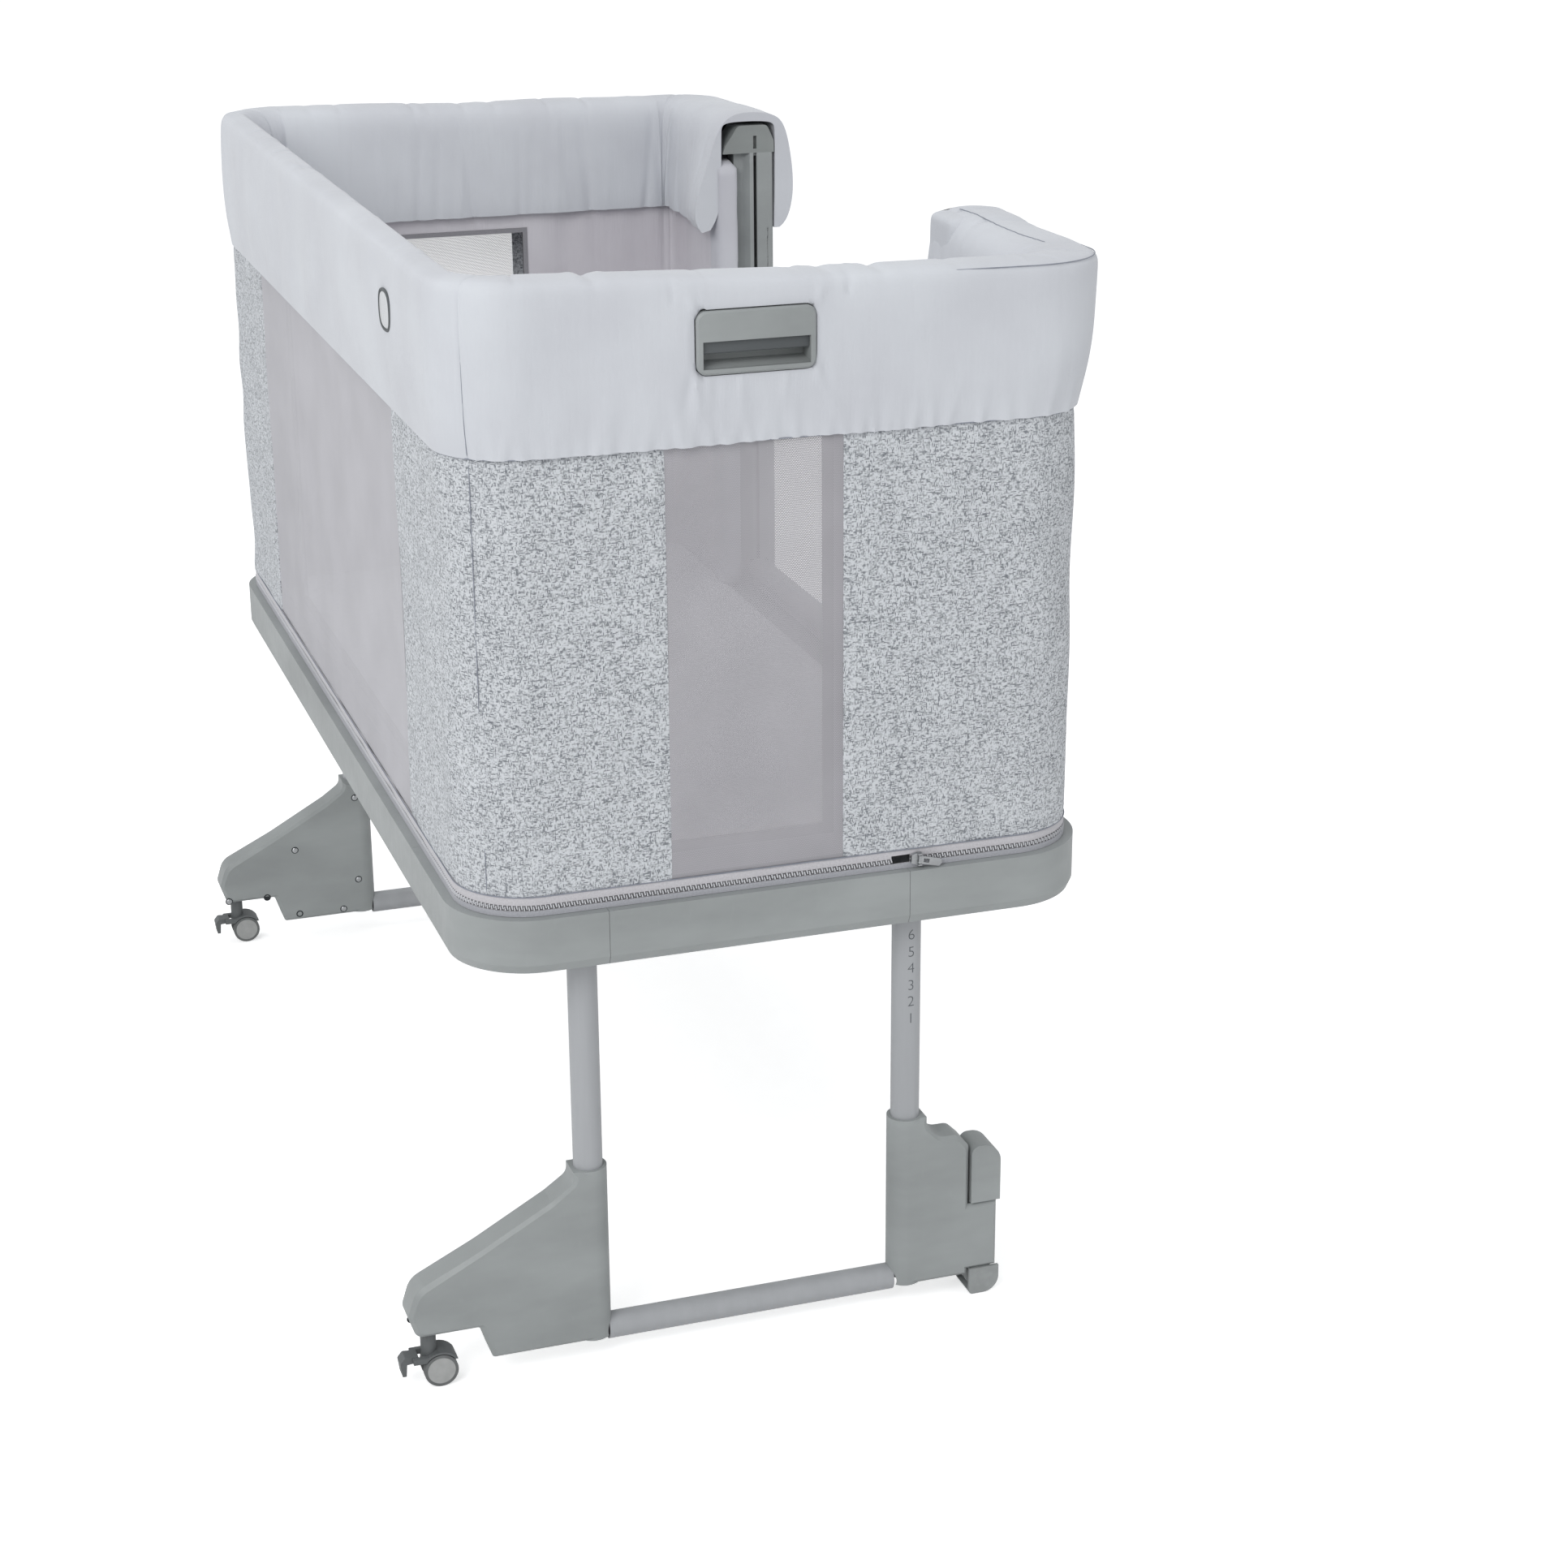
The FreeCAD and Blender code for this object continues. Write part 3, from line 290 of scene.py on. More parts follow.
def melangeCloth(name):
    # plain weave: threads along and up the cloth, each light or dark over a few millimetres,
    # and the darker of the two shows
    f = Finish(name)
    along, up, _ = f.cloth()
    pitch, strand = melangeLook["pitch"], melangeLook["strand"]
    column = (along / pitch).floor()
    row = (up / pitch).floor()
    weft = f.noise(f.join(along / strand, row * 7.31, 3.7), 1.0, 1.5, 0.6)
    warp = f.noise(f.join(column * 5.17, up / strand, 9.1), 1.0, 1.5, 0.6)
    over = ((column + row) / 2).fract() > 0.25
    thread = warp.sum("MINIMUM", warp, weft)
    blotch = f.noise(f.join(along, up), 22.0, 3.0)
    bright = f.remap(thread, melangeLook["cutLow"], melangeLook["cutHigh"]) * 0.92 \
        + f.remap(blotch, 0.3, 0.7, 0.0, 0.1)
    paint = f.mix(bright.clamped(), melangeLook["dark"], melangeLook["light"])
    hillAlong = ((along / pitch).fract() - 0.5).size()
    hillUp = ((up / pitch).fract() - 0.5).size()
    hill = (1 - hillAlong * 2) * over + (1 - hillUp * 2) * (1 - over)
    relief = f.bump(hill + thread * 0.6, 0.00028, 0.8)
    return f.surface(baseColor=paint, roughness=f.remap(thread, 0.3, 0.7, 0.88, 0.78), normal=relief,
                     sheen=0.12, sheenRoughness=0.5, specular=0.25)


satinLook = {"rib": 0.0009}


def satinCloth(name, colour, crush=1.0, warm=0.0):
    # close satin weave: fine diagonal ribs, soft crush marks that run up the cloth
    f = Finish(name)
    along, up, _ = f.cloth()
    rib = ((along + up * 0.6) * (fullTurn / satinLook["rib"])).wave()
    crushMark = f.noise(f.join(along * 90.0, up * 9.0, 1.3), 1.0, 4.0, 0.62)
    cloud = f.noise(f.join(along * 7.0, up * 7.0, 4.1), 1.0, 3.0)
    pale = shade(colour, 1.05)
    deep = (colour[0] * (0.93 + warm), colour[1] * 0.92, colour[2] * 0.93, 1.0)
    paint = f.mix(f.remap(cloud, 0.3, 0.7), deep, pale)
    # painted shade: the cloth is darkened where the crush marks dip, in the creases
    paint = f.mix(f.remap(crushMark, 0.25, 0.45, 0.25, 0.0), paint, deep)
    relief = f.bump(crushMark, 0.0011 * crush, 0.5)
    relief = f.bump(rib, 0.00004, 0.5, relief)
    return f.surface(baseColor=paint, roughness=f.remap(crushMark, 0.3, 0.7, 0.56, 0.68), normal=relief,
                     sheen=0.25, sheenRoughness=0.35, specular=0.4)


meshLook = {"pitch": 0.00165}


def meshCloth(name, colour, open):
    # knitted net: round holes in offset rows, drawn as transparency; open is their width over the pitch
    f = Finish(name)
    along, up, _ = f.cloth()
    pitch = meshLook["pitch"]
    row = (up / (pitch * 0.866)).floor()
    shift = (row / 2).fract()
    x = (along / pitch + shift).fract() - 0.5
    y = (up / (pitch * 0.866)).fract() - 0.5
    hole = (x * x + y * y * 0.75) < (open * 0.5) ** 2 * 1.45
    cloud = f.noise(f.join(along * 12.0, up * 12.0, 2.2), 1.0, 3.0)
    yarn = f.noise(f.join(along, up), 900.0, 2.0)
    deep = shade(colour, 0.90)
    paint = f.mix(f.remap(cloud, 0.3, 0.7), deep, colour)
    return f.surface(baseColor=paint, roughness=f.remap(yarn, 0.3, 0.7, 0.7, 0.85), alpha=1 - hole,
                     normal=f.bump(yarn, 0.0002, 0.5), sheen=0.1)


padLook = {"quilt": 0.055}


def padCloth(name, colour):
    # jersey over foam, quilted in small diamonds
    f = Finish(name)
    x, y, _ = f.parts(f.place())
    a = ((x + y) * (fullTurn / padLook["quilt"])).wave()
    b = ((x - y) * (fullTurn / padLook["quilt"])).wave()
    quilt = (a * b).size()
    knit = f.noise(f.place(), 1100.0, 2.0)
    # painted shade: the cloth is darkened along the quilt's stitched grooves
    paint = f.mix(f.remap(quilt, 0.0, 0.18, 0.35, 0.0), colour, shade(colour, 0.8))
    relief = f.bump(quilt, 0.0035, 0.8)
    relief = f.bump(knit, 0.0001, 0.5, relief)
    return f.surface(baseColor=paint, roughness=f.remap(knit, 0.3, 0.7, 0.8, 0.92), normal=relief, sheen=0.2)


tapeLook = {"rib": 0.0016, "bone": 0.004, "teethShadeHalf": 0.0027}


def tapeCloth(name, colour, teethShadeHeight=0.0):
    # herringbone tape of a zip, with a band of painted shade behind the teeth where its height is given
    f = Finish(name)
    along, up, _ = f.cloth()
    bone = (along * (fullTurn / tapeLook["rib"]) + (up * (fullTurn / tapeLook["bone"])).wave() * 2).wave()
    fuzz = f.noise(f.join(along, up), 500.0, 3.0)
    deep = shade(colour, 0.85)
    paint = f.mix(f.remap(fuzz, 0.3, 0.7), deep, colour)
    if teethShadeHeight:
        # painted shade: a dark band where the teeth shade the tape
        paint = f.mix((up - teethShadeHeight).size() < tapeLook["teethShadeHalf"], paint, shade(colour, 0.28))
    return f.surface(baseColor=paint, roughness=f.remap(fuzz, 0.3, 0.7, 0.7, 0.82),
                     normal=f.bump(bone, 0.0001, 0.6), sheen=0.15)


moulding = mouldedPlastic("moulding", tone(151, 155, 155), 0.42)
handleShell = mouldedPlastic("handleShell", tone(147, 151, 151), 0.46)
capPlastic = mouldedPlastic("capPlastic", tone(134, 138, 137), 0.45)
darkPlastic = mouldedPlastic("darkPlastic", tone(82, 86, 88), 0.48)
casterPlastic = mouldedPlastic("casterPlastic", tone(96, 99, 100), 0.48)
tubePaint = paintedTube("tubePaint", tone(164, 166, 169))
steelFinish = bareMetal("steelFinish", tone(196, 198, 200))
zipMetal = bareMetal("zipMetal", tone(186, 188, 190), 0.4)
zipCoil = mouldedPlastic("zipCoil", tone(204, 205, 209), 0.5)
rubberPadLook = rubberLook("rubberPad", tone(149, 152, 152))
wheelFinish = wheelLook("wheelFinish", tone(170, 171, 170), tone(98, 100, 100), 0.0143)
melange = melangeCloth("melange")
bandCloth = satinCloth("bandCloth", tone(204, 207, 212))
liningCloth = satinCloth("liningCloth", tone(213, 211, 216), 1.4, 0.01)
rollCloth = satinCloth("rollCloth", tone(200, 201, 207), 0.8)
# painted light: the same net in three tones, darkest on the near end, lighter on the left side and lightest
# in the far window, for how the light falls on each
nearNetShaded = meshCloth("nearNetShaded", tone(172, 170, 175), 0.30)
farNetLit = meshCloth("farNetLit", tone(214, 213, 217), 0.58)
leftNetLit = meshCloth("leftNetLit", tone(188, 187, 192), 0.24)
mattressCloth = padCloth("mattressCloth", tone(226, 227, 229))
boardFinish = mouldedPlastic("boardFinish", tone(150, 152, 150), 0.6)
tapeFinish = tapeCloth("tapeFinish", tone(201, 199, 203), 0.5190)
tapeDark = tapeCloth("tapeDark", tone(180, 181, 187))
bindingCloth = tapeCloth("bindingCloth", tone(150, 149, 154))
threadFinish = rubberLook("thread", tone(132, 136, 146))
inkFinish = rubberLook("ink", tone(92, 95, 98))
badgeFace = mouldedPlastic("badgeFace", tone(206, 208, 210), 0.3, 0.2)
shadowFinish = rubberLook("shadow", tone(52, 56, 58))
print("materials made")


# surfaces

def fillMesh(name, points, faces, finish, flat=None, angle=40.0):
    # points and faces into a mesh, with the cloth map from flat, and edges sharper than the angle kept crisp
    mesh = bpy.data.meshes.new(name)
    mesh.vertices.add(len(points))
    mesh.vertices.foreach_set("co", np.asarray(points, np.float32).ravel())
    mesh.loops.add(faces.size)
    mesh.loops.foreach_set("vertex_index", faces.astype(np.int32).ravel())
    mesh.polygons.add(len(faces))
    mesh.polygons.foreach_set("loop_start", np.arange(0, faces.size, faces.shape[1], dtype=np.int32))
    mesh.update(calc_edges=True)
    mesh.validate()
    mesh.polygons.foreach_set("use_smooth", np.ones(len(mesh.polygons), bool))
    if flat is not None:
        layer = mesh.uv_layers.new(name="Cloth")
        corners = np.zeros(len(mesh.loops), np.int32)
        mesh.loops.foreach_get("vertex_index", corners)
        layer.data.foreach_set("uv", np.asarray(flat, np.float32)[corners].ravel())
    mesh.set_sharp_from_angle(angle=math.radians(angle))
    mesh.materials.append(finish)
    piece = bpy.data.objects.new(name, mesh)
    scene.collection.objects.link(piece)
    return piece


def shell(name, front, back, finish, flat=None, keep=None, angle=50.0):
    # two grids of points, one behind the other, closed round every edge and hole
    rows, columns = front.shape[:2]
    ids = np.arange(rows * columns).reshape(rows, columns)
    behind = rows * columns
    keep = np.ones((rows - 1, columns - 1), bool) if keep is None else keep
    a, b, c, d = ids[:-1, :-1][keep], ids[1:, :-1][keep], ids[1:, 1:][keep], ids[:-1, 1:][keep]
    quads = [np.stack([a, d, c, b], 1), np.stack([a, b, c, d], 1) + behind]
    edge = np.pad(keep, 1)
    for p, q, one, two in ((ids[:-1], ids[1:], edge[1:-1, :-1], edge[1:-1, 1:]),
                           (ids[:, 1:], ids[:, :-1], edge[:-1, 1:-1], edge[1:, 1:-1])):
        for m, (start, stop) in ((two & ~one, (p, q)), (one & ~two, (q, p))):
            quads.append(np.stack([start[m], stop[m], stop[m] + behind, start[m] + behind], 1))
    points = np.concatenate([front.reshape(-1, 3), back.reshape(-1, 3)])
    faces = np.concatenate(quads)
    used = np.zeros(len(points), bool)
    used[faces.ravel()] = True
    renumber = np.cumsum(used) - 1
    if flat is not None:
        flat = np.concatenate([flat.reshape(-1, 2)] * 2)[used]
    return fillMesh(name, points[used], renumber[faces], finish, flat, angle)


def ringFaces(count, sides, flipped=False):
    # quads from each ring of points to the next, closed round
    ids = np.arange(count * sides).reshape(count, sides)
    after = np.roll(ids, -1, 1)
    if flipped:
        return np.stack([ids[:-1], ids[1:], after[1:], after[:-1]], -1).reshape(-1, 4)
    return np.stack([ids[:-1], after[:-1], after[1:], ids[1:]], -1).reshape(-1, 4)


def meshPoints(mesh):
    # the mesh's corners as rows of x, y, z
    points = np.zeros(len(mesh.vertices) * 3)
    mesh.vertices.foreach_get("co", points)
    return points.reshape(-1, 3)


def openGrid(name, grid, finish, flat, angle=40.0):
    # a single surface, row by column
    rows, columns = grid.shape[:2]
    ids = np.arange(rows * columns).reshape(rows, columns)
    faces = np.stack([ids[:-1, :-1], ids[:-1, 1:], ids[1:, 1:], ids[1:, :-1]], -1).reshape(-1, 4)
    return fillMesh(name, grid.reshape(-1, 3), faces, finish, flat.reshape(-1, 2), angle)


def tubeAlong(name, line, radius, finish, sides=6):
    # a thin tube along a line of points: a ring of the radius about each, across the line's direction
    ahead = np.gradient(line, axis=0)
    ahead /= np.linalg.norm(ahead, axis=1, keepdims=True)
    side = np.cross(ahead, (0.0, 0.0, 1.0))
    weak = np.linalg.norm(side, axis=1) < 1e-4
    side[weak] = np.cross(ahead[weak], (1.0, 0.0, 0.0))
    side /= np.linalg.norm(side, axis=1, keepdims=True)
    over = np.cross(side, ahead)
    turn = np.arange(sides) / sides * 2 * math.pi
    radii = np.full(len(line), radius)
    radii[0] = radii[-1] = radius * 0.02
    ring = np.cos(turn)[None, :, None] * side[:, None] + np.sin(turn)[None, :, None] * over[:, None]
    grid = line[:, None] + ring * radii[:, None, None]
    return fillMesh(name, grid.reshape(-1, 3), ringFaces(len(line), sides, True), finish)


def curveWeights(controls, count):
    # cubic B-spline held at both ends: every point is a weighted mean of four neighbouring controls
    ends = np.concatenate([[0, 0], np.arange(controls), [controls - 1] * 2])
    t = np.linspace(0, len(ends) - 3, count)
    k = np.minimum(t.astype(int), len(ends) - 4)
    f = t - k
    basis = np.stack([(1 - f) ** 3, 3 * f ** 3 - 6 * f ** 2 + 4,
                      -3 * f ** 3 + 3 * f ** 2 + 3 * f + 1, f ** 3], 1)
    weights = np.zeros((count, controls))
    for j in range(4):
        np.add.at(weights, (np.arange(count), ends[k + j]), basis[:, j] / 6)
    return weights


def ease(value):
    # smooth step from 0 to 1
    value = np.clip(value, 0, 1)
    return value * value * (3 - 2 * value)


def bell(offset, width):
    # 1 at no offset, falling off smoothly over the width
    return np.exp(-(offset / width) ** 2)


def ripple(u, v, seed, count=10, low=2.0, high=9.0):
    # smooth uneven field: a sum of sines in fixed random directions
    throw = np.random.default_rng(seed)
    total = np.zeros(np.broadcast(u, v).shape)
    for _ in range(count):
        pace, heading, start = throw.uniform(low, high), throw.uniform(0, math.pi), throw.uniform(0, 6.28)
        total += np.sin((u * math.cos(heading) + v * math.sin(heading)) * pace * 6.28 + start)
    return total / math.sqrt(count)


def stepsThrough(start, stop, step, marks=()):
    # evenly spaced places from start to stop that also pass through every mark
    knots = sorted({start, stop, *[m for m in marks if start < m < stop]})
    parts = [np.linspace(p, q, max(2, int(math.ceil((q - p) / step)) + 1))[:-1]
             for p, q in zip(knots, knots[1:])]
    return np.concatenate([*parts, [stop]])


def outwards(grid):
    # unit direction across a grid of points, from the cross of its two neighbours' directions
    across = np.cross(np.gradient(grid, axis=1), np.gradient(grid, axis=0))
    return across / np.maximum(np.linalg.norm(across, axis=2, keepdims=True), 1e-9)


# the wall line: once round the tray from the near post to the far post

wall = {"left": -0.2951, "bed": 0.3649, "end": 0.66, "corner": 0.085, "gate": 0.355}
quarter = wall["corner"] * math.pi / 2
runs = [wall["end"] - wall["corner"] - wall["gate"], quarter, wall["bed"] - wall["left"] - 2 * wall["corner"],
        quarter, 2 * (wall["end"] - wall["corner"])]
runs = runs + runs[-2::-1]
stops = np.concatenate([[0], np.cumsum(runs)])
around = float(stops[-1])
turns = np.radians([-90, -90, -180, -180, -270, -270, -360, -360, -450, -450])
fineS = np.linspace(0, around, 24834)
fineTurn = np.interp(fineS, stops, turns)
middle = (fineTurn[1:] + fineTurn[:-1]) / 2
fineX = wall["bed"] + np.concatenate([[0], np.cumsum(np.cos(middle) * np.diff(fineS))])
fineY = -wall["gate"] + np.concatenate([[0], np.cumsum(np.sin(middle) * np.diff(fineS))])


def onWall(s, inset, z):
    # the point at s along the wall line, moved in by the inset, at height z
    turn = np.interp(s, fineS, fineTurn)
    x = np.interp(s, fineS, fineX) + np.sin(turn) * inset
    y = np.interp(s, fineS, fineY) - np.cos(turn) * inset
    return np.stack(np.broadcast_arrays(x, y, z), -1).astype(float)


def wellMargin(s):
    # how far the inner lining stands in from the wall line
    return np.interp(s, stops, [0.067, 0.067, 0.0725, 0.0725, 0.044, 0.044, 0.0725, 0.0725, 0.067, 0.067])


def fromGate(s):
    return np.minimum(s, around - s)


def bedShare(s):
    # 1 on the bed side, easing to 0 round its corners
    return ease(1 - (fromGate(s) - stops[1]) / quarter)


def endPlace(x):
    # where x lies on the near end, as a distance along the wall line
    return stops[2] + (wall["bed"] - wall["corner"]) - x


def leftPlace(y):
    return stops[4] + y + wall["end"] - wall["corner"]


def mirrorS(s):
    return around - s


endWindow = {"left": -0.0836, "bed": 0.0924, "sill": 0.545, "head": 0.950}
sideWindow = {"half": 0.385, "corner": 0.060}
nearBedEdge, nearLeftEdge = endPlace(endWindow["bed"]), endPlace(endWindow["left"])
leftNearEdge, leftFarEdge = leftPlace(-sideWindow["half"]), leftPlace(sideWindow["half"])
windowSpans = ((nearBedEdge, nearLeftEdge), (leftNearEdge, leftFarEdge),
               (mirrorS(nearLeftEdge), mirrorS(nearBedEdge)))
cornerSeam = (stops[3] + stops[4]) / 2


def inWindow(s, room=0.0):
    # true where s is beside a window, or within the room of one
    return np.logical_or.reduce([(s > start - room) & (s < stop + room) for start, stop in windowSpans])


def wallPatch(places, heights):
    # the two parameters of a patch: distance along the wall line and height
    return np.meshgrid(places, heights, indexing="ij")


def wallSheet(name, along, up, inset, rear, finish, keep=None):
    # cloth between two insets, mapped in metres along and up
    flat = np.stack([along, up], 2)
    return shell(name, onWall(along, inset, up), onWall(along, rear, up), finish, flat, keep)


print("wall line:", round(around, 4), "m")


# the padded band

band = {"low": 0.958, "step": 0.0030, "rings": 84, "leftStep": 0.0045, "hoodLength": 0.15,
        # the crown's drop below its height, by distance from the gate
        "farDrop": ([0, 0.05, 0.15, 0.353, 0.60, 0.85, 0.95],
                    [0.000, 0.001, 0.005, 0.008, 0.007, 0.001, 0.0]),
        "nearDrop": ([0, 0.05, 0.10, 0.15, 0.353, 0.50, 0.60, 0.85, 0.95],
                     [0.009, 0.009, 0.013, 0.015, 0.0135, 0.012, 0.010, 0.001, 0.0]),
        # control points in mm. Outer: plain inset, and what the bed side, the hood and the near return add
        "outer": [(8, -8.5, -4, 8), (5, -9, -12, 6), (3.5, -9.5, -18, 2), (3.5, -10, -12, -3),
                  (4, -10, -6, -6), (9, -9, 5, -9)],
        # inner: inset past the well's margin, and what the hood and the near return add
        "inner": [(-10, 2, -3), (4, 6, 0), (8, 14, 0), (12, 26, 0), (14.5, 28, 0), (13.5, 18, 0)],
        # heights from the lower seam round to the inner one, the share of the drop, and the hood's lift
        "height": [(958, 0, 18), (985, 0, 0), (1018, 0, 0), (1068, 0, 0), (1108, 0.9, 0), (1120, 1, 0),
                   (1121.5, 1, 0), (1120, 1, 0), (1102, 0.8, 0), (1062, 0, 0), (1020, 0, 0), (990, 0, 0),
                   (975, 0, 0)],
        # the lining of the band in the same way; its third column is what the closed end adds
        "backOuter": [(11.5, -8.5, 0, 7), (14, -9, -2, 5), (15, -9, -4, 1), (15.5, -10, -4, 0),
                      (16, -10, -4, 0), (20, -14, -4, 0)],
        "backInner": [(-8, 12, 0), (-2, 6.8, 0), (1, 4.2, 0), (2, 4, 0), (6, 4, 0), (10.5, 0, 10)],
        "backHeight": [(958.8, 0, 0, 18), (985, 0, 0, 0), (1018, 0, 0, 0), (1060, 0, 0, 0),
                       (1090, 10, 1, 0), (1102.5, 7, 1, 0), (1104, 6.5, 1, 0), (1102.5, 7, 1, 0),
                       (1088, 12, 1, 0), (1060, 0, 0, 0), (1022, 0, 0, 0), (994, 0, 0, 0), (978, 0, 0, 0)]}
handle = {"left": -0.0548, "bed": 0.0636, "low": 1.0228, "high": 1.0842, "corner": 0.0112,
          # creases that start at the housing: side and shift, edge and rise, angle, reach, width, strength
          "creases": [("bed", 0, "low", 0, -2.05, 0.075, 0.006, 0.0030),
                      ("bed", -0.004, "low", 0.006, -1.85, 0.062, 0.008, -0.0028),
                      ("left", 0, "low", 0, -1.62, 0.060, 0.005, 0.0026),
                      ("left", 0.004, "low", 0, -1.35, 0.055, 0.006, -0.0022),
                      ("bed", 0, "high", 0, 1.95, 0.030, 0.005, 0.0024),
                      ("left", 0, "high", 0, 1.15, 0.028, 0.005, 0.0024),
                      ("bed", -0.030, "high", 0.006, 1.8, 0.030, 0.004, -0.0024),
                      ("left", 0.020, "high", 0.008, 1.45, 0.026, 0.004, -0.0018),
                      ("left", -0.02, "low", -0.004, -1.6, 0.055, 0.006, -0.0018),
                      ("left", -0.045, "low", -0.004, -1.55, 0.055, 0.006, 0.0016),
                      ("bed", 0.03, "low", -0.004, -1.5, 0.055, 0.006, 0.0018)]}


def weighed(table, *fields):
    # each row of the table times the fields, in metres: one row for each place along the wall
    return np.stack(fields, 1) @ np.array(table).T * 0.001


def bandControls(s):
    # front and back section of the band at each s: inset and height of thirteen control points
    one, b, m, g = np.ones(s.shape), bedShare(s), wellMargin(s), fromGate(s)
    near = ease((around / 2 - s) / 0.1)
    nearReturn = near * b  # the near return is flat-topped and sharp-edged, the far one is a soft hood
    hood = ease(1 - g / band["hoodLength"]) * (1 - near)
    capped = ease((0.062 - g) / 0.016)  # the end at the gate, closed round the post
    farDrop = np.interp(g, *band["farDrop"])
    drop = farDrop + (np.interp(g, *band["nearDrop"]) - farDrop) * near
    extra = (drop - 0.008).clip(0)
    # six points outside, one on top halfway to the well's margin, six inside
    front = np.concatenate([weighed(band["outer"], one, b, hood, nearReturn),
                            (0.010 - 0.008 * b + m)[:, None] / 2,
                            m[:, None] + weighed(band["inner"], one, hood, nearReturn)], 1)
    back = np.concatenate([weighed(band["backOuter"], one, b, capped, nearReturn), (0.020 + m)[:, None] / 2,
                           m[:, None] + weighed(band["backInner"], one, capped, hood)], 1)
    frontHeight = weighed(band["height"], one, -1000 * drop, hood)
    backHeight = weighed(band["backHeight"], one, capped, -1000 * extra, hood)
    return np.stack([front, frontHeight], 2), np.stack([back, backHeight], 2)


def outerFolds(s, z, places, seed, size):
    # gathers above the lower seam: narrow ridges that lean a little and fade with height
    throw = np.random.default_rng(seed)
    lift = np.zeros(s.shape)
    rise = z - band["low"]
    for place in places:
        width, tall = throw.uniform(0.0028, 0.0065), throw.uniform(0.014, 0.042)
        strength = throw.uniform(0.4, 1.0) * size
        lean = throw.uniform(-0.25, 0.25)
        lift += strength * bell(s - place - lean * rise, width + rise * 0.10) * np.exp(-rise / tall)
    return lift


def pucker(s, z, centre, height, angle, reach, width, strength):
    # one crease that starts at a point, runs off at an angle and fades along its reach
    du, dv = s - centre, z - height
    alongIt = du * math.cos(angle) + dv * math.sin(angle)
    across = -du * math.sin(angle) + dv * math.cos(angle)
    spread = width * (0.5 + alongIt.clip(0) / reach)
    return strength * bell(across, spread) * ease(alongIt / 0.004 + 0.5) * ease(1 - alongIt / reach)


def bandLift(s, share, along, z, foldSeed, foldPlaces, foldSize, flatFoot):
    # how far the cloth stands out: gathers and waves outside, pleats inside, tucks on the crown and
    # dents at the seams
    outer = ease((0.50 - share) / 0.06)
    inner = ease((share - 0.56) / 0.08)
    lift = outerFolds(along, z, foldPlaces, foldSeed, foldSize) * outer
    lift += 0.0013 * ripple(along, z, foldSeed + 1, 8, 3, 9) * outer
    throw = np.random.default_rng(foldSeed + 2)
    count = int((s[-1] - s[0]) / 0.024)
    for k in range(count):
        place = s[0] + (k + throw.uniform(0.1, 0.9)) * (s[-1] - s[0]) / count
        width, strength = throw.uniform(0.004, 0.009), throw.uniform(-0.0038, 0.0026)
        lean = throw.uniform(-0.15, 0.15)
        fade = ease((1.112 - z) / 0.05) * (0.45 + 0.55 * ease((1.04 - z) / 0.06))
        lift += strength * bell(along - place - lean * (z - 0.97), width) * inner * fade
    if flatFoot:
        lift *= ease((z - band["low"]) / 0.03)
    crown = bell(share - 0.52, 0.10)
    for _ in range(int((s[-1] - s[0]) / 0.032)):
        place, width = throw.uniform(s[0], s[-1]), throw.uniform(0.0025, 0.006)
        lift += throw.uniform(-0.0024, 0.0008) * bell(along - place, width) * crown
    for seam in (stops[1] + quarter / 2, cornerSeam, mirrorS(cornerSeam)):
        lift -= 0.0012 * bell(along - seam, 0.0022) * ease((fromGate(seam) - 0.4) / 0.1)
    return lift, outer


def handleOpening(at, along, share, z):
    # signed distance to the handle's rounded outline, and the shift that draws nearby points onto it
    left, bed = endPlace(handle["left"]), endPlace(handle["bed"])
    u = at - (left + bed) / 2
    v = z - (handle["low"] + handle["high"]) / 2
    qu = np.abs(u) - abs(left - bed) / 2 + handle["corner"]
    qv = np.abs(v) - (handle["high"] - handle["low"]) / 2 + handle["corner"]
    apart = np.hypot(qu.clip(0), qv.clip(0)) + np.minimum(np.maximum(qu, qv), 0) - handle["corner"]
    apart = np.where(share < 0.42, apart, 1.0)
    slopeS = np.gradient(apart, axis=0) / np.gradient(along, axis=0)
    slopeZ = np.gradient(apart, axis=1) / np.gradient(z, axis=1)
    length = np.maximum(np.hypot(slopeS, slopeZ), 1e-6)
    near = (apart < 0.0016) & (apart > -0.012)
    pull = np.where(near, -apart / length, 0)
    return apart, near, pull * slopeS, pull * slopeZ


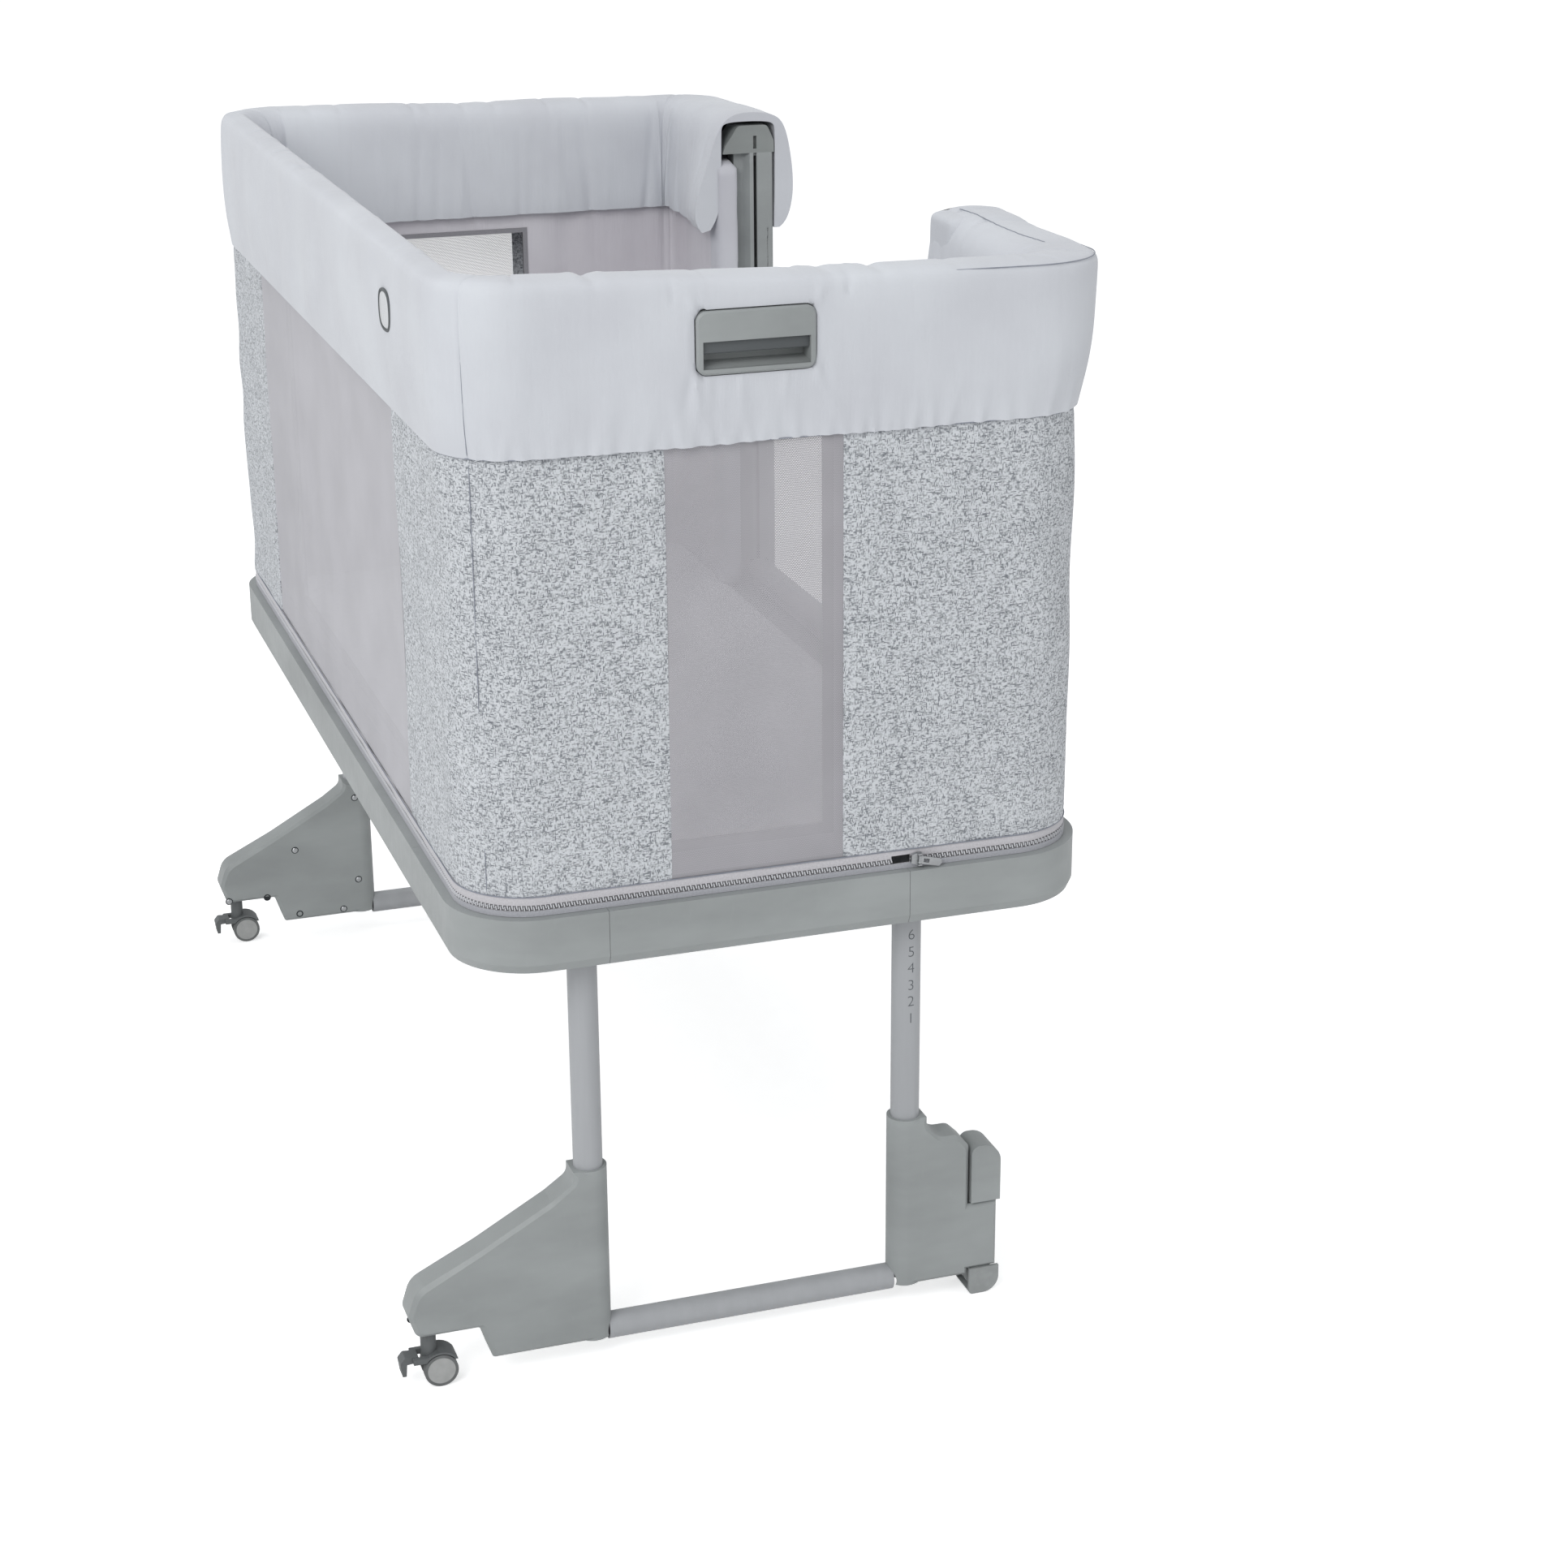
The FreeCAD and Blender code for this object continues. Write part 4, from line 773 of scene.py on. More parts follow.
def bandPiece(name, s, foldSeed, foldPlaces, foldSize, nodeName, handleHole=False, mirrored=False):
    # the section carried along the wall line, pushed out by its folds; the cloth inside the handle's
    # outline turns in behind the housing
    front, back = bandControls(s)
    weights = curveWeights(13, band["rings"])
    front = np.einsum("vc,scd->svd", weights, front)
    back = np.einsum("vc,scd->svd", weights, back)
    share = np.linspace(0, 1, band["rings"])[None, :]
    along = np.broadcast_to(s[:, None], front.shape[:2])
    inset, z = front[..., 0], front[..., 1]
    lift, outer = bandLift(s, share, along, z, foldSeed, foldPlaces, foldSize, not handleHole)
    grid = onWall(along, inset, z)
    rear = onWall(along, back[..., 0], back[..., 1])
    keep = None
    if handleHole:
        at = mirrorS(along) if mirrored else along
        for side, shift, edge, rise, *crease in handle["creases"]:
            lift += pucker(at, z, endPlace(handle[side]) + shift, handle[edge] + rise, *crease) * outer
        apart, near, shiftS, shiftZ = handleOpening(at, along, share, z)
        lift = lift * ease((apart - 0.001) / 0.006) - 0.0006 * bell(apart, 0.004)
        grid = onWall(along + shiftS, inset, z + shiftZ)
        inside = apart < -0.0062
        keep = ~(inside[:-1, :-1] & inside[1:, :-1] & inside[1:, 1:] & inside[:-1, 1:])
    grid = grid + outwards(grid) * lift[..., None]
    if handleHole:
        turn = np.interp(along, fineS, fineTurn)
        depth = ((-apart - 0.0016).clip(0) * 2.0).clip(0, 0.009)
        grid[..., 0] += np.sin(turn) * depth
        grid[..., 1] -= np.cos(turn) * depth
        drawn = onWall(along + shiftS * 1.2, back[..., 0] + np.where(near, 0.004, 0), z + shiftZ * 1.2)
        rear = np.where((near & (apart < 0.004))[..., None], drawn, rear)
    climb = np.cumsum(np.linalg.norm(np.diff(grid, axis=1), axis=2), 1)
    flat = np.stack([along, np.concatenate([np.zeros((len(s), 1)), climb], 1)], 2)
    piece = shell(name, grid, rear, bandCloth, flat, keep)
    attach(piece, "basket")
    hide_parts(nodeName)


nearFolds = np.concatenate([np.linspace(0.30, 0.46, 7), np.linspace(0.47, 0.90, 30)])
nearFolds = nearFolds + dice.uniform(-0.006, 0.006, 37)
leftFolds = np.sort(dice.uniform(cornerSeam + 0.02, mirrorS(cornerSeam) - 0.02, 34))
nearS = stepsThrough(0.0, cornerSeam, band["step"], (endPlace(handle["left"]), endPlace(handle["bed"])))
bandPiece("bandNear", nearS, 21, nearFolds, 0.0036, "band_near", True)
bandPiece("bandFar", mirrorS(nearS)[::-1], 22, mirrorS(nearFolds), 0.0036, "band_far", True, True)
leftS = stepsThrough(cornerSeam, mirrorS(cornerSeam), band["leftStep"])
bandPiece("bandLeft", leftS, 23, leftFolds, 0.0012, "band_left")
print("band made")


def bandPoint(s, z, proud=0.0):
    # a point on the band's outer face
    front, _ = bandControls(np.atleast_1d(s).astype(float))
    line = np.einsum("vc,scd->svd", curveWeights(13, 400), front)[:, :190]
    heights = np.broadcast_to(z, len(line))
    inset = np.array([np.interp(height, row[:, 1], row[:, 0]) for row, height in zip(line, heights)])
    return onWall(np.atleast_1d(s), inset - proud, z)


def bandAt(s, share, proud=0.0):
    # a point on the band at a share of the way round its section, 0 at the lower seam and 1 inside
    front, _ = bandControls(s)
    weights = curveWeights(13, 401)
    row = weights[np.round(np.broadcast_to(share, s.shape) * 400).astype(int)]
    spot = np.einsum("sc,scd->sd", row, front)
    place = onWall(s, spot[:, 0], spot[:, 1])
    place[:, 2] += proud
    return place


# melange panels between the zip and the band

panel = {"low": 0.5303, "high": 0.9577, "outer": 0.0100, "thick": 0.0028, "step": 0.006, "stepUp": 0.010,
         "sag": 0.0014, "hoodRise": 0.020, "wave": 0.0009, "gather": -0.0010, "hem": 0.0011, "seam": 0.0010}


def melangePanel(name, start, stop, seed, nodeName):
    # flat cloth that sags and waves, gathers hanging from its top edge, drawn in at its hems and seams
    along, up = wallPatch(stepsThrough(start, stop, panel["step"]),
                          stepsThrough(panel["low"], panel["high"], panel["stepUp"]))
    rise = (up - panel["low"]) / (panel["high"] - panel["low"])
    up = up + panel["hoodRise"] * rise * ease(1 - fromGate(along) / band["hoodLength"]) * (along > around / 2)
    edge = np.minimum(along - start, stop - along)
    pull = panel["sag"] * np.sin(rise * math.pi) * ripple(along, up * 0.4, seed, 6, 2, 6)
    soft = panel["wave"] * ripple(along, up, seed + 5, 9, 5, 16) * ease(edge / 0.02)
    places = np.linspace(start + 0.02, stop - 0.02, 9)
    gather = outerFolds(along, 2 * band["low"] - up, places, seed + 2, panel["gather"])
    inset = panel["outer"] - pull - soft - gather + panel["hem"] * bell(edge, 0.004)
    for seam in (cornerSeam, mirrorS(cornerSeam)):
        inset = inset + panel["seam"] * bell(along - seam, 0.002)
    inset = inset + 0.0006 * bell(up - panel["low"], 0.003) + 0.0008 * bell(panel["high"] - up, 0.003)
    rear = np.maximum(inset + 0.0012, panel["outer"] + panel["thick"])
    piece = wallSheet(name, along, up, inset, rear, melange)
    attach(piece, "basket")
    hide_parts(nodeName)
    stop - start


melangePanel("panelNearBed", 0.0, nearBedEdge, 31, "fabric_near_bed")
melangePanel("panelNearLeft", nearLeftEdge, leftNearEdge, 32, "fabric_near_left")
melangePanel("panelFarLeft", mirrorS(leftNearEdge), mirrorS(nearLeftEdge), 33, "fabric_far_left")
melangePanel("panelFarBed", mirrorS(nearBedEdge), around, 34, "fabric_far_bed")
print("melange panels made")


# nets in the windows

net = {"inset": 0.0118, "low": 0.5303, "high": 0.9620, "sag": 0.0022, "step": 0.008, "tuck": 0.004}


def netPiece(name, start, stop, seed, nodeName, finish):
    # one layer, held at its edges, which tuck behind the cloth, and sagging out unevenly between them
    start, stop = start - net["tuck"], stop + net["tuck"]
    along, up = wallPatch(stepsThrough(start, stop, net["step"]),
                          stepsThrough(net["low"], net["high"], net["step"]))
    edge = np.minimum(np.minimum(along - start, stop - along), np.minimum(up - net["low"], net["high"] - up))
    inset = net["inset"] + ease(edge / 0.05) * net["sag"] * (1 + 0.5 * ripple(along, up, seed, 7, 2, 7))
    piece = openGrid(name, onWall(along, inset, up), finish, np.stack([along, up], 2))
    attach(piece, "basket")
    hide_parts(nodeName)
    stop - start


netPiece("netNear", nearBedEdge, nearLeftEdge, 41, "net_near", nearNetShaded)
netPiece("netFar", mirrorS(nearLeftEdge), mirrorS(nearBedEdge), 42, "net_far", farNetLit)
netPiece("netLeft", leftNearEdge, leftFarEdge, 43, "net_left", leftNetLit)
print("nets made")


# inner lining, its window bindings and the rolls beside the posts

lining = {"low": 0.5103, "high": 1.040, "thick": 0.0022, "seam": 0.972, "step": 0.008, "stepUp": 0.012,
          "creases": 62, "wave": 0.0012, "calm": 0.012, "seamDent": 0.0022}


def liningPiece():
    # creases hanging from the seam under the band, calm beside the windows, which are cut out of both layers
    marks = [edge for span in windowSpans for edge in span]
    s = stepsThrough(0.0, around, lining["step"], marks)
    z = stepsThrough(lining["low"], lining["high"], lining["stepUp"], (endWindow["sill"], endWindow["head"]))
    along, up = wallPatch(s, z)
    fold = np.zeros(along.shape)
    throw = np.random.default_rng(51)
    for _ in range(lining["creases"]):
        place, width = throw.uniform(0, around), throw.uniform(0.006, 0.014)
        tall = throw.uniform(0.06, 0.22)
        fade = np.exp(-(lining["seam"] - up).clip(0) / tall)
        fold += throw.uniform(-0.0030, 0.0024) * bell(along - place, width) * fade
    fold += lining["wave"] * ripple(along, up, 52, 9, 2, 7)
    for seam in (stops[1] + quarter / 2, cornerSeam, mirrorS(cornerSeam), mirrorS(stops[1] + quarter / 2)):
        fold -= lining["seamDent"] * bell(along - seam, 0.003)
    fold = np.where(inWindow(along, lining["calm"]), 0.0, fold)
    inset = wellMargin(along) + fold.clip(-0.0035, 0.006) * ease((up - 0.522) / 0.03)
    middleS = (s[1:] + s[:-1])[:, None] / 2
    middleZ = (z[1:] + z[:-1])[None, :] / 2
    high = (middleZ > endWindow["sill"]) & (middleZ < endWindow["head"])
    piece = wallSheet("innerLining", along, up, inset - lining["thick"], inset, liningCloth,
                      ~(inWindow(middleS) & high))
    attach(piece, "basket")
    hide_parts("inner_lining")


bindingTape = {"wide": 0.011, "farWide": 0.006, "front": 0.0030, "behind": 0.0012, "step": 0.008}


def binding(name, start, stop, wide=bindingTape["wide"]):
    # a flat tape round the window, over the lining's cut edge: a strip below, above and at each side
    sill, head = endWindow["sill"], endWindow["head"]
    strips = {"Low": (start - wide, stop + wide, sill - wide, sill),
              "High": (start - wide, stop + wide, head, head + wide),
              "One": (start - wide, start, sill, head), "Two": (stop, stop + wide, sill, head)}
    pieces = []
    for label, (s0, s1, z0, z1) in strips.items():
        along, up = wallPatch(*[stepsThrough(p, q, bindingTape["step"]) for p, q in ((s0, s1), (z0, z1))])
        inset = wellMargin(along)
        pieces.append(wallSheet(name + label, along, up, inset - bindingTape["front"],
                                inset + bindingTape["behind"], bindingCloth))
    joined = joinPieces(name, pieces)
    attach(joined, "basket")


def joinPieces(name, pieces):
    # several mapped meshes with the same finish into one piece
    corners, points, flats, start = [], [], [], 0
    for piece in pieces:
        mesh = piece.data
        loops = np.zeros(len(mesh.loops), np.int32)
        mesh.loops.foreach_get("vertex_index", loops)
        points.append(meshPoints(mesh))
        corners.append(loops.reshape(-1, 4) + start)
        uv = np.zeros(len(mesh.loops) * 2)
        mesh.uv_layers[0].data.foreach_get("uv", uv)
        flat = np.zeros((len(mesh.vertices), 2))
        flat[loops] = uv.reshape(-1, 2)
        flats.append(flat)
        start += len(mesh.vertices)
    finish = pieces[0].data.materials[0]
    for piece in pieces:
        bpy.data.objects.remove(piece)
    return fillMesh(name, np.concatenate(points), np.concatenate(corners), finish, np.concatenate(flats))


roll = {"left": 0.2860, "bed": 0.3150, "inner": 0.3500, "outer": 0.3945, "low": 0.5105, "high": 1.062,
        "step": 0.009, "sides": 40}


def liningRoll(name, side):
    # the lining's end, rolled into a soft upright beside the post: a rounded box section up its height
    turn = np.linspace(0, 2 * math.pi, roll["sides"] + 1)[:-1]
    z = stepsThrough(roll["low"], roll["high"], roll["step"])
    x0, x1, y0, y1 = roll["left"], roll["bed"], roll["inner"], roll["outer"]
    c, w = np.cos(turn)[None, :], np.sin(turn)[None, :]
    grow = 1 - 0.55 * bell(np.minimum(z - z[0], z[-1] - z), 0.004)[:, None]
    swell = 1 + 0.05 * ripple(z[:, None], turn[None, :] * 0.02, 60, 6, 4, 14)
    rx = np.sign(c) * np.abs(c) ** 0.6 * (x1 - x0) / 2 * grow * swell.clip(0.9, 1.0)
    ry = np.sign(w) * np.abs(w) ** 0.5 * (y1 - y0) / 2 * grow
    up = np.broadcast_to(z[:, None], rx.shape)
    grid = np.stack([(x0 + x1) / 2 + rx, side * ((y0 + y1) / 2 + ry), up], 2)
    grid = np.concatenate([grid, grid[:, :1]], 1)
    if side < 0:
        grid = grid[:, ::-1]
    caps = [np.broadcast_to(grid[k].mean(0), grid[k].shape)[None] for k in (0, -1)]
    grid = np.concatenate([caps[0], grid, caps[1]], 0)
    across = np.broadcast_to(np.linspace(0, 0.1, grid.shape[1]), grid.shape[:2])
    flat = np.stack([across, grid[..., 2]], 2)
    piece = openGrid(name, grid, rollCloth, flat, 70)
    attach(piece, "basket")


liningPiece()
binding("bindingNear", nearBedEdge, nearLeftEdge)
binding("bindingFar", mirrorS(nearLeftEdge), mirrorS(nearBedEdge), bindingTape["farWide"])
binding("bindingLeft", leftNearEdge, leftFarEdge)
liningRoll("liningRollNear", -1)
liningRoll("liningRollFar", 1)
print("lining made")


# zip: tape with the mouth the slider runs in, and teeth

zipper = {"low": 0.5103, "high": 0.5297, "inset": 0.0100, "line": 0.5190, "thick": 0.0010, "swell": 0.0007,
          "mouthLeft": 0.1429, "mouthBed": 0.1629, "mouthLow": 0.5155, "mouthHigh": 0.5245,
          "lowerTop": 0.5160}
tooth = {"pitch": 0.0026, "half": 0.00062, "lean": 0.0004, "deep": 0.0011, "stagger": 0.0006, "tall": 0.0021,
         "taper": 0.25}


def zipTape():
    # a strip that swells above and below its middle, and a darker strip over its lower edge
    marks = (endPlace(zipper["mouthBed"]), endPlace(zipper["mouthLeft"]))
    s = stepsThrough(0.0, around, 0.006, marks)
    z = stepsThrough(zipper["low"], zipper["high"], 0.003, (zipper["mouthLow"], zipper["mouthHigh"]))
    along, up = wallPatch(s, z)
    swell = zipper["swell"] * np.sin((up - zipper["low"]) / (zipper["high"] - zipper["low"]) * math.pi * 2)
    inset = zipper["inset"] + 0.0006 + swell.clip(-0.0005) + 0.0003 * ripple(along, up * 0, 71, 6, 8, 22)
    middleS = (s[1:] + s[:-1])[:, None] / 2
    middleZ = (z[1:] + z[:-1])[None, :] / 2
    mouth = (middleS > marks[0]) & (middleS < marks[1]) \
        & (middleZ > zipper["mouthLow"]) & (middleZ < zipper["mouthHigh"])
    piece = wallSheet("zipTape", along, up, inset, inset + zipper["thick"], tapeFinish, ~mouth)
    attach(piece, "basket")
    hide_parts("zip_tape")
    along, up = wallPatch(stepsThrough(0.0, around, 0.010),
                          stepsThrough(zipper["low"], zipper["lowerTop"], 0.0028))
    lower = wallSheet("zipTapeLower", along, up, zipper["inset"] - 0.0005, zipper["inset"] + 0.0001, tapeDark)
    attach(lower, "basket")


def zipTeeth():
    # one small wedge of eight corners for each tooth, set by turns a little higher and lower
    s = np.arange(0.02, around - 0.02, tooth["pitch"])
    s = s[(s < endPlace(zipper["mouthBed"])) | (s > endPlace(zipper["mouthLeft"]))]
    way = np.where(np.arange(len(s)) % 2 == 0, 1.0, -1.0)
    corners = np.array([(x, y, z) for x in (-1, 1) for y in (0, 1) for z in (-1, 1)], float)
    ahead, out, rise = corners.T[:, None]
    along = s[:, None] + ahead * tooth["half"] + rise * tooth["lean"]
    inset = zipper["inset"] + 0.0002 - out * tooth["deep"]
    up = zipper["line"] + way[:, None] * tooth["stagger"] + rise * tooth["tall"] * (1 - tooth["taper"] * out)
    points = onWall(along, inset, up).reshape(-1, 3)
    box = np.array([(2, 3, 1, 0), (5, 7, 6, 4), (1, 5, 4, 0), (6, 7, 3, 2), (4, 6, 2, 0), (3, 7, 5, 1)])
    faces = (box[None] + 8 * np.arange(len(s))[:, None, None]).reshape(-1, 4)
    piece = fillMesh("zipTeeth", points, faces, zipCoil, None, 20)
    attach(piece, "basket")


zipTape()
zipTeeth()
print("zip made")


# mattress and the drop side's folded cloth

mattress = {"left": -0.2486, "bed": 0.2954, "end": 0.5850, "corner": 0.022, "low": 0.4862, "top": 0.0300,
            "crown": 0.0057, "round": 240, "quilt": 0.0010,
            # share of the outline and height, from the middle of the underside to the upper piping
            "side": [(0.0, 0.0), (0.7, 0.0), (0.97, 0.0), (0.992, 0.0015), (1.0, 0.004), (0.994, 0.007),
                     (0.9905, 0.0100), (0.9900, 0.0180), (0.992, 0.0235), (0.9985, 0.0262), (0.996, 0.0290),
                     (0.985, 0.0302)]}


def roundedLoop(left, right, end, corner, count):
    # a rounded rectangle walked at an even pace, anticlockwise
    width, depth = right - left - 2 * corner, 2 * end - 2 * corner
    legs = [width, corner * math.pi / 2, depth, corner * math.pi / 2] * 2
    knots = np.concatenate([[0], np.cumsum(legs)])
    turn = np.radians([0, 0, 90, 90, 180, 180, 270, 270, 360])
    fine = np.linspace(0, knots[-1], 8001)
    way = np.interp(fine, knots, turn)
    mid = (way[1:] + way[:-1]) / 2
    x = left + corner + np.concatenate([[0], np.cumsum(np.cos(mid) * np.diff(fine))])
    y = -end + np.concatenate([[0], np.cumsum(np.sin(mid) * np.diff(fine))])
    at = np.linspace(0, knots[-1], count + 1)[:-1]
    return np.stack([np.interp(at, fine, x), np.interp(at, fine, y)], 1)


def mattressPiece():
    # the outline shrunk ring by ring: flat underneath, a drawn-in side with two piped edges, a low crown
    loop = roundedLoop(*[mattress[key] for key in ("left", "bed", "end", "corner", "round")])
    centre = np.array([(mattress["left"] + mattress["bed"]) / 2, 0.0])
    sideShares, sideHeights = np.array(mattress["side"]).T
    inner = np.linspace(0.975, 0.0, 40)
    shares = np.concatenate([sideShares, inner])
    heights = np.concatenate([sideHeights, mattress["top"] + mattress["crown"] * (1 - inner ** 4)])
    xy = centre + (loop - centre) * shares[:, None, None]
    soft = ease((0.97 - shares) / 0.1) * (heights > 0.028) * mattress["quilt"]
    z = mattress["low"] + heights[:, None] + soft[:, None] * ripple(xy[..., 0], xy[..., 1], 81, 9, 1, 5)
    grid = np.concatenate([xy, z[..., None]], 2)
    piece = fillMesh("mattressPad", grid.reshape(-1, 3), ringFaces(*grid.shape[:2]), mattressCloth,
                     grid[..., :2].reshape(-1, 2), 60)
    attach(piece, "basket")
    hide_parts("mattress")


drop = {"low": 0.5106, "high": 0.5244, "half": 0.3508, "x": 0.3369, "step": 0.012, "rows": 73, "layers": 6,
        "swing": 0.0088, "thick": 0.0008, "clear": 0.0006, "tall": 0.11}


def dropCloth():
    # the lowered side folded in layers: a fixed zigzag; on the crib this cloth opens out as the rail is
    # lifted
    low, high, half, x = drop["low"], drop["high"], drop["half"], drop["x"]
    across, rise = wallPatch(stepsThrough(-half, half, drop["step"]), np.linspace(0, 1, drop["rows"]))
    uneven = 1 + 0.05 * ripple(across, rise * 0.1, 91, 5, 2, 6)
    swing = drop["swing"] * np.sin(rise * math.pi * drop["layers"]) * uneven
    up = low + drop["clear"] + (high - low - 2 * drop["clear"]) * rise
    front = np.stack([x + swing + drop["thick"] / 2, across, up], 2)
    rear = front - np.array([drop["thick"], 0, 0])
    piece = shell("dropCloth", front, rear, liningCloth, np.stack([across, rise * drop["tall"]], 2))
    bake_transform(piece)
    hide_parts("drop_fabric")


mattressPiece()
dropCloth()
print("mattress and drop side made")


# stitched seams, badge, labels and screws

def seamLine(name, line, radius=0.00045):
    piece = tubeAlong(name, line, radius, threadFinish)
    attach(piece, "basket")


def bandSeams():
    # corner seams of band and panels, the band's and the panels' lower seams, and two on the near return
    for label, s in (("Near", cornerSeam), ("Far", mirrorS(cornerSeam))):
        z = np.linspace(0.960, 1.112, 60)
        seamLine("bandSeam" + label, bandPoint(np.full(60, s), z, -0.0008))
        z = np.linspace(0.5320, 0.956, 90)
        seamLine("panelSeam" + label, onWall(np.full(90, s), 0.0100 + 0.0006, z))
    s = np.linspace(0.012, around - 0.012, 900)
    farHood = ease(1 - fromGate(s) / band["hoodLength"]) * (s > around / 2)
    low = onWall(s, 0.0088 - 0.0085 * bedShare(s) * (s > around / 2), 0.9580 + 0.018 * farHood)
    seamLine("bandLowerSeam", low, radius=0.0006)
    seamLine("bandTopSeam", bandAt(np.linspace(0.19, 0.46, 120), 0.41, 0.0001), radius=0.0005)
    mitre = bandAt(np.linspace(0.012, 0.20, 60), np.linspace(0.54, 0.50, 60), 0.0002)
    seamLine("bandMitreSeam", mitre, radius=0.0005)
    seamLine("panelLowerSeam", onWall(s, 0.0098, 0.5302), radius=0.0006)


badgeOval = {"y": -0.4230, "high": 1.0585, "wide": 0.0250, "tall": 0.0205, "power": 0.75, "rimFrom": 3,
             # share of the oval and height over the cloth, from the middle to the edge
             "rings": [(0.0, 0.0020), (0.5, 0.00195), (0.80, 0.0018), (0.84, 0.0012), (0.88, 0.0012),
                       (0.90, 0.0022), (0.97, 0.0022), (1.0, 0.0012), (1.0, -0.0015)]}


def badge():
    # blank oval plate: a low dome over a superellipse, with a dark rim
    place, high, power = leftPlace(badgeOval["y"]), badgeOval["high"], badgeOval["power"]
    turn = np.linspace(0, 2 * math.pi, 73)[:-1]
    u = np.sign(np.cos(turn)) * np.abs(np.cos(turn)) ** power * badgeOval["wide"]
    v = np.sign(np.sin(turn)) * np.abs(np.sin(turn)) ** power * badgeOval["tall"]
    rings = [bandPoint(place + u * share, high + v * share, proud) for share, proud in badgeOval["rings"]]
    grid = np.stack(rings)[:, ::-1]
    count, sides = grid.shape[:2]
    piece = fillMesh("badgePlate", grid.reshape(-1, 3), ringFaces(count, sides), badgeFace, None, 30)
    piece.data.materials.append(darkPlastic)
    ring = np.repeat(np.arange(count - 1), sides)
    piece.data.polygons.foreach_set("material_index", (ring >= badgeOval["rimFrom"]).astype(np.int32))
    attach(piece, "basket")


labels = {"x": 0.1754, "y": -0.6090, "radius": 0.01502, "size": 0.0165, "thin": -0.00025, "cuts": 3,
          "marks": [("6", 0.4250), ("5", 0.4060), ("4", 0.3880), ("3", 0.3690), ("2", 0.3510), ("1", 0.3320)]}


def tubeLabels():
    # height numbers, wrapped round the tube: the flat letter's width becomes an angle
    for mark, height in labels["marks"]:
        curve = bpy.data.curves.new("label" + mark, "FONT")
        curve.body = mark
        curve.size = labels["size"]
        curve.align_x = "CENTER"
        curve.align_y = "CENTER"
        curve.offset = labels["thin"]
        holder = bpy.data.objects.new("holder" + mark, curve)
        scene.collection.objects.link(holder)
        bpy.context.view_layer.update()
        mesh = bpy.data.meshes.new_from_object(holder)
        bpy.data.objects.remove(holder)
        letter = bmesh.new()
        letter.from_mesh(mesh)
        bmesh.ops.triangulate(letter, faces=letter.faces[:])
        bmesh.ops.subdivide_edges(letter, edges=letter.edges[:], cuts=labels["cuts"], use_grid_fill=True)
        letter.to_mesh(mesh)
        letter.free()
        points = meshPoints(mesh)
        angle = points[:, 0] / labels["radius"]
        placed = np.stack([labels["x"] + np.sin(angle) * labels["radius"],
                           labels["y"] - np.cos(angle) * labels["radius"], height + points[:, 1]], 1)
        mesh.vertices.foreach_set("co", placed.astype(np.float32).ravel())
        mesh.materials.clear()
        mesh.materials.append(inkFinish)
        mesh.update()
        piece = bpy.data.objects.new("heightMark" + mark, mesh)
        scene.collection.objects.link(piece)
        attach(piece, "near_legs")


def turned(profile, sides=28):
    # a profile of (radius, height) turned about its axis, as rings of points
    turn = np.linspace(0, 2 * math.pi, sides + 1)[:-1]
    r, h = np.array(profile).T[:, :, None]
    return np.stack([r * np.cos(turn), r * np.sin(turn), np.broadcast_to(h, (len(h), sides))], 2)


# x and z of each screw, then of each bare recess
screw = {"spots": [(-0.1706, 0.193), (-0.2566, 0.127), (-0.1716, 0.073), (-0.3506, 0.064), (-0.1946, 0.032)],
         "recesses": [(-0.2986, 0.063), (-0.2556, 0.033)],
         "head": [(0.0, 0.0016), (0.0012, 0.0016), (0.0028, 0.0013), (0.0036, 0.0007), (0.0037, -0.0004)],
         "hole": [(0.0, -0.0010), (0.0030, -0.0010), (0.0032, 0.0003), (0.0046, 0.0004), (0.0050, -0.0002)]}


def footScrews():
    # each foot's inner cover is held by screws: the near foot's face looks to +y, the far one's to -y
    for end, way in (("near", 1.0), ("far", -1.0)):
        low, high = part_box("foot_covers_" + end)
        face = high.y if way > 0 else low.y
        for k, (x, z) in enumerate(screw["spots"] + screw["recesses"]):
            shown = 2 if k < len(screw["spots"]) else 1
            for part, finish in (("hole", shadowFinish), ("head", steelFinish))[:shown]:
                rings = turned(screw[part])
                grid = np.stack([x + rings[..., 0], face + way * rings[..., 2], z + rings[..., 1] * way], 2)
                piece = fillMesh("screw" + part.capitalize() + end.capitalize() + str(k), grid.reshape(-1, 3),
                                 ringFaces(*grid.shape[:2], True), finish, None, 40)
                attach(piece, end + "_legs")


bandSeams()
badge()
tubeLabels()
footScrews()
print("seams, badge, labels and screws made")


# finishes of the CAD nodes

# the first start that fits a node's name gives its finish, so post_cap stands before post_
finishOf = {"tray_": moulding, "mattress_board": boardFinish, "guide_frame": tubePaint,
            "rim_hoop": darkPlastic, "post_cap": capPlastic, "post_": moulding,
            "handle_housing": handleShell, "handle_trigger": darkPlastic, "leg_tubes": tubePaint,
            "crossbar": tubePaint, "caster_foot": moulding, "arm_foot": moulding, "foot_covers": moulding,
            "arm_hinge_pin": steelFinish, "rubber_pad": rubberPadLook, "folding_arm": moulding,
            "caster_fork": casterPlastic, "caster_wheels": wheelFinish, "brake_pedal": casterPlastic,
            "drop_rail": tubePaint, "drop_carriages": darkPlastic, "zip_slider": zipMetal,
            "zip_pull": zipMetal}
for nodeName, piece in nodes.items():
    for start, finish in finishOf.items():
        if nodeName.startswith(start):
            piece.data.materials.clear()
            piece.data.materials.append(finish)
            break
print("node finishes set")


# floor, light and camera

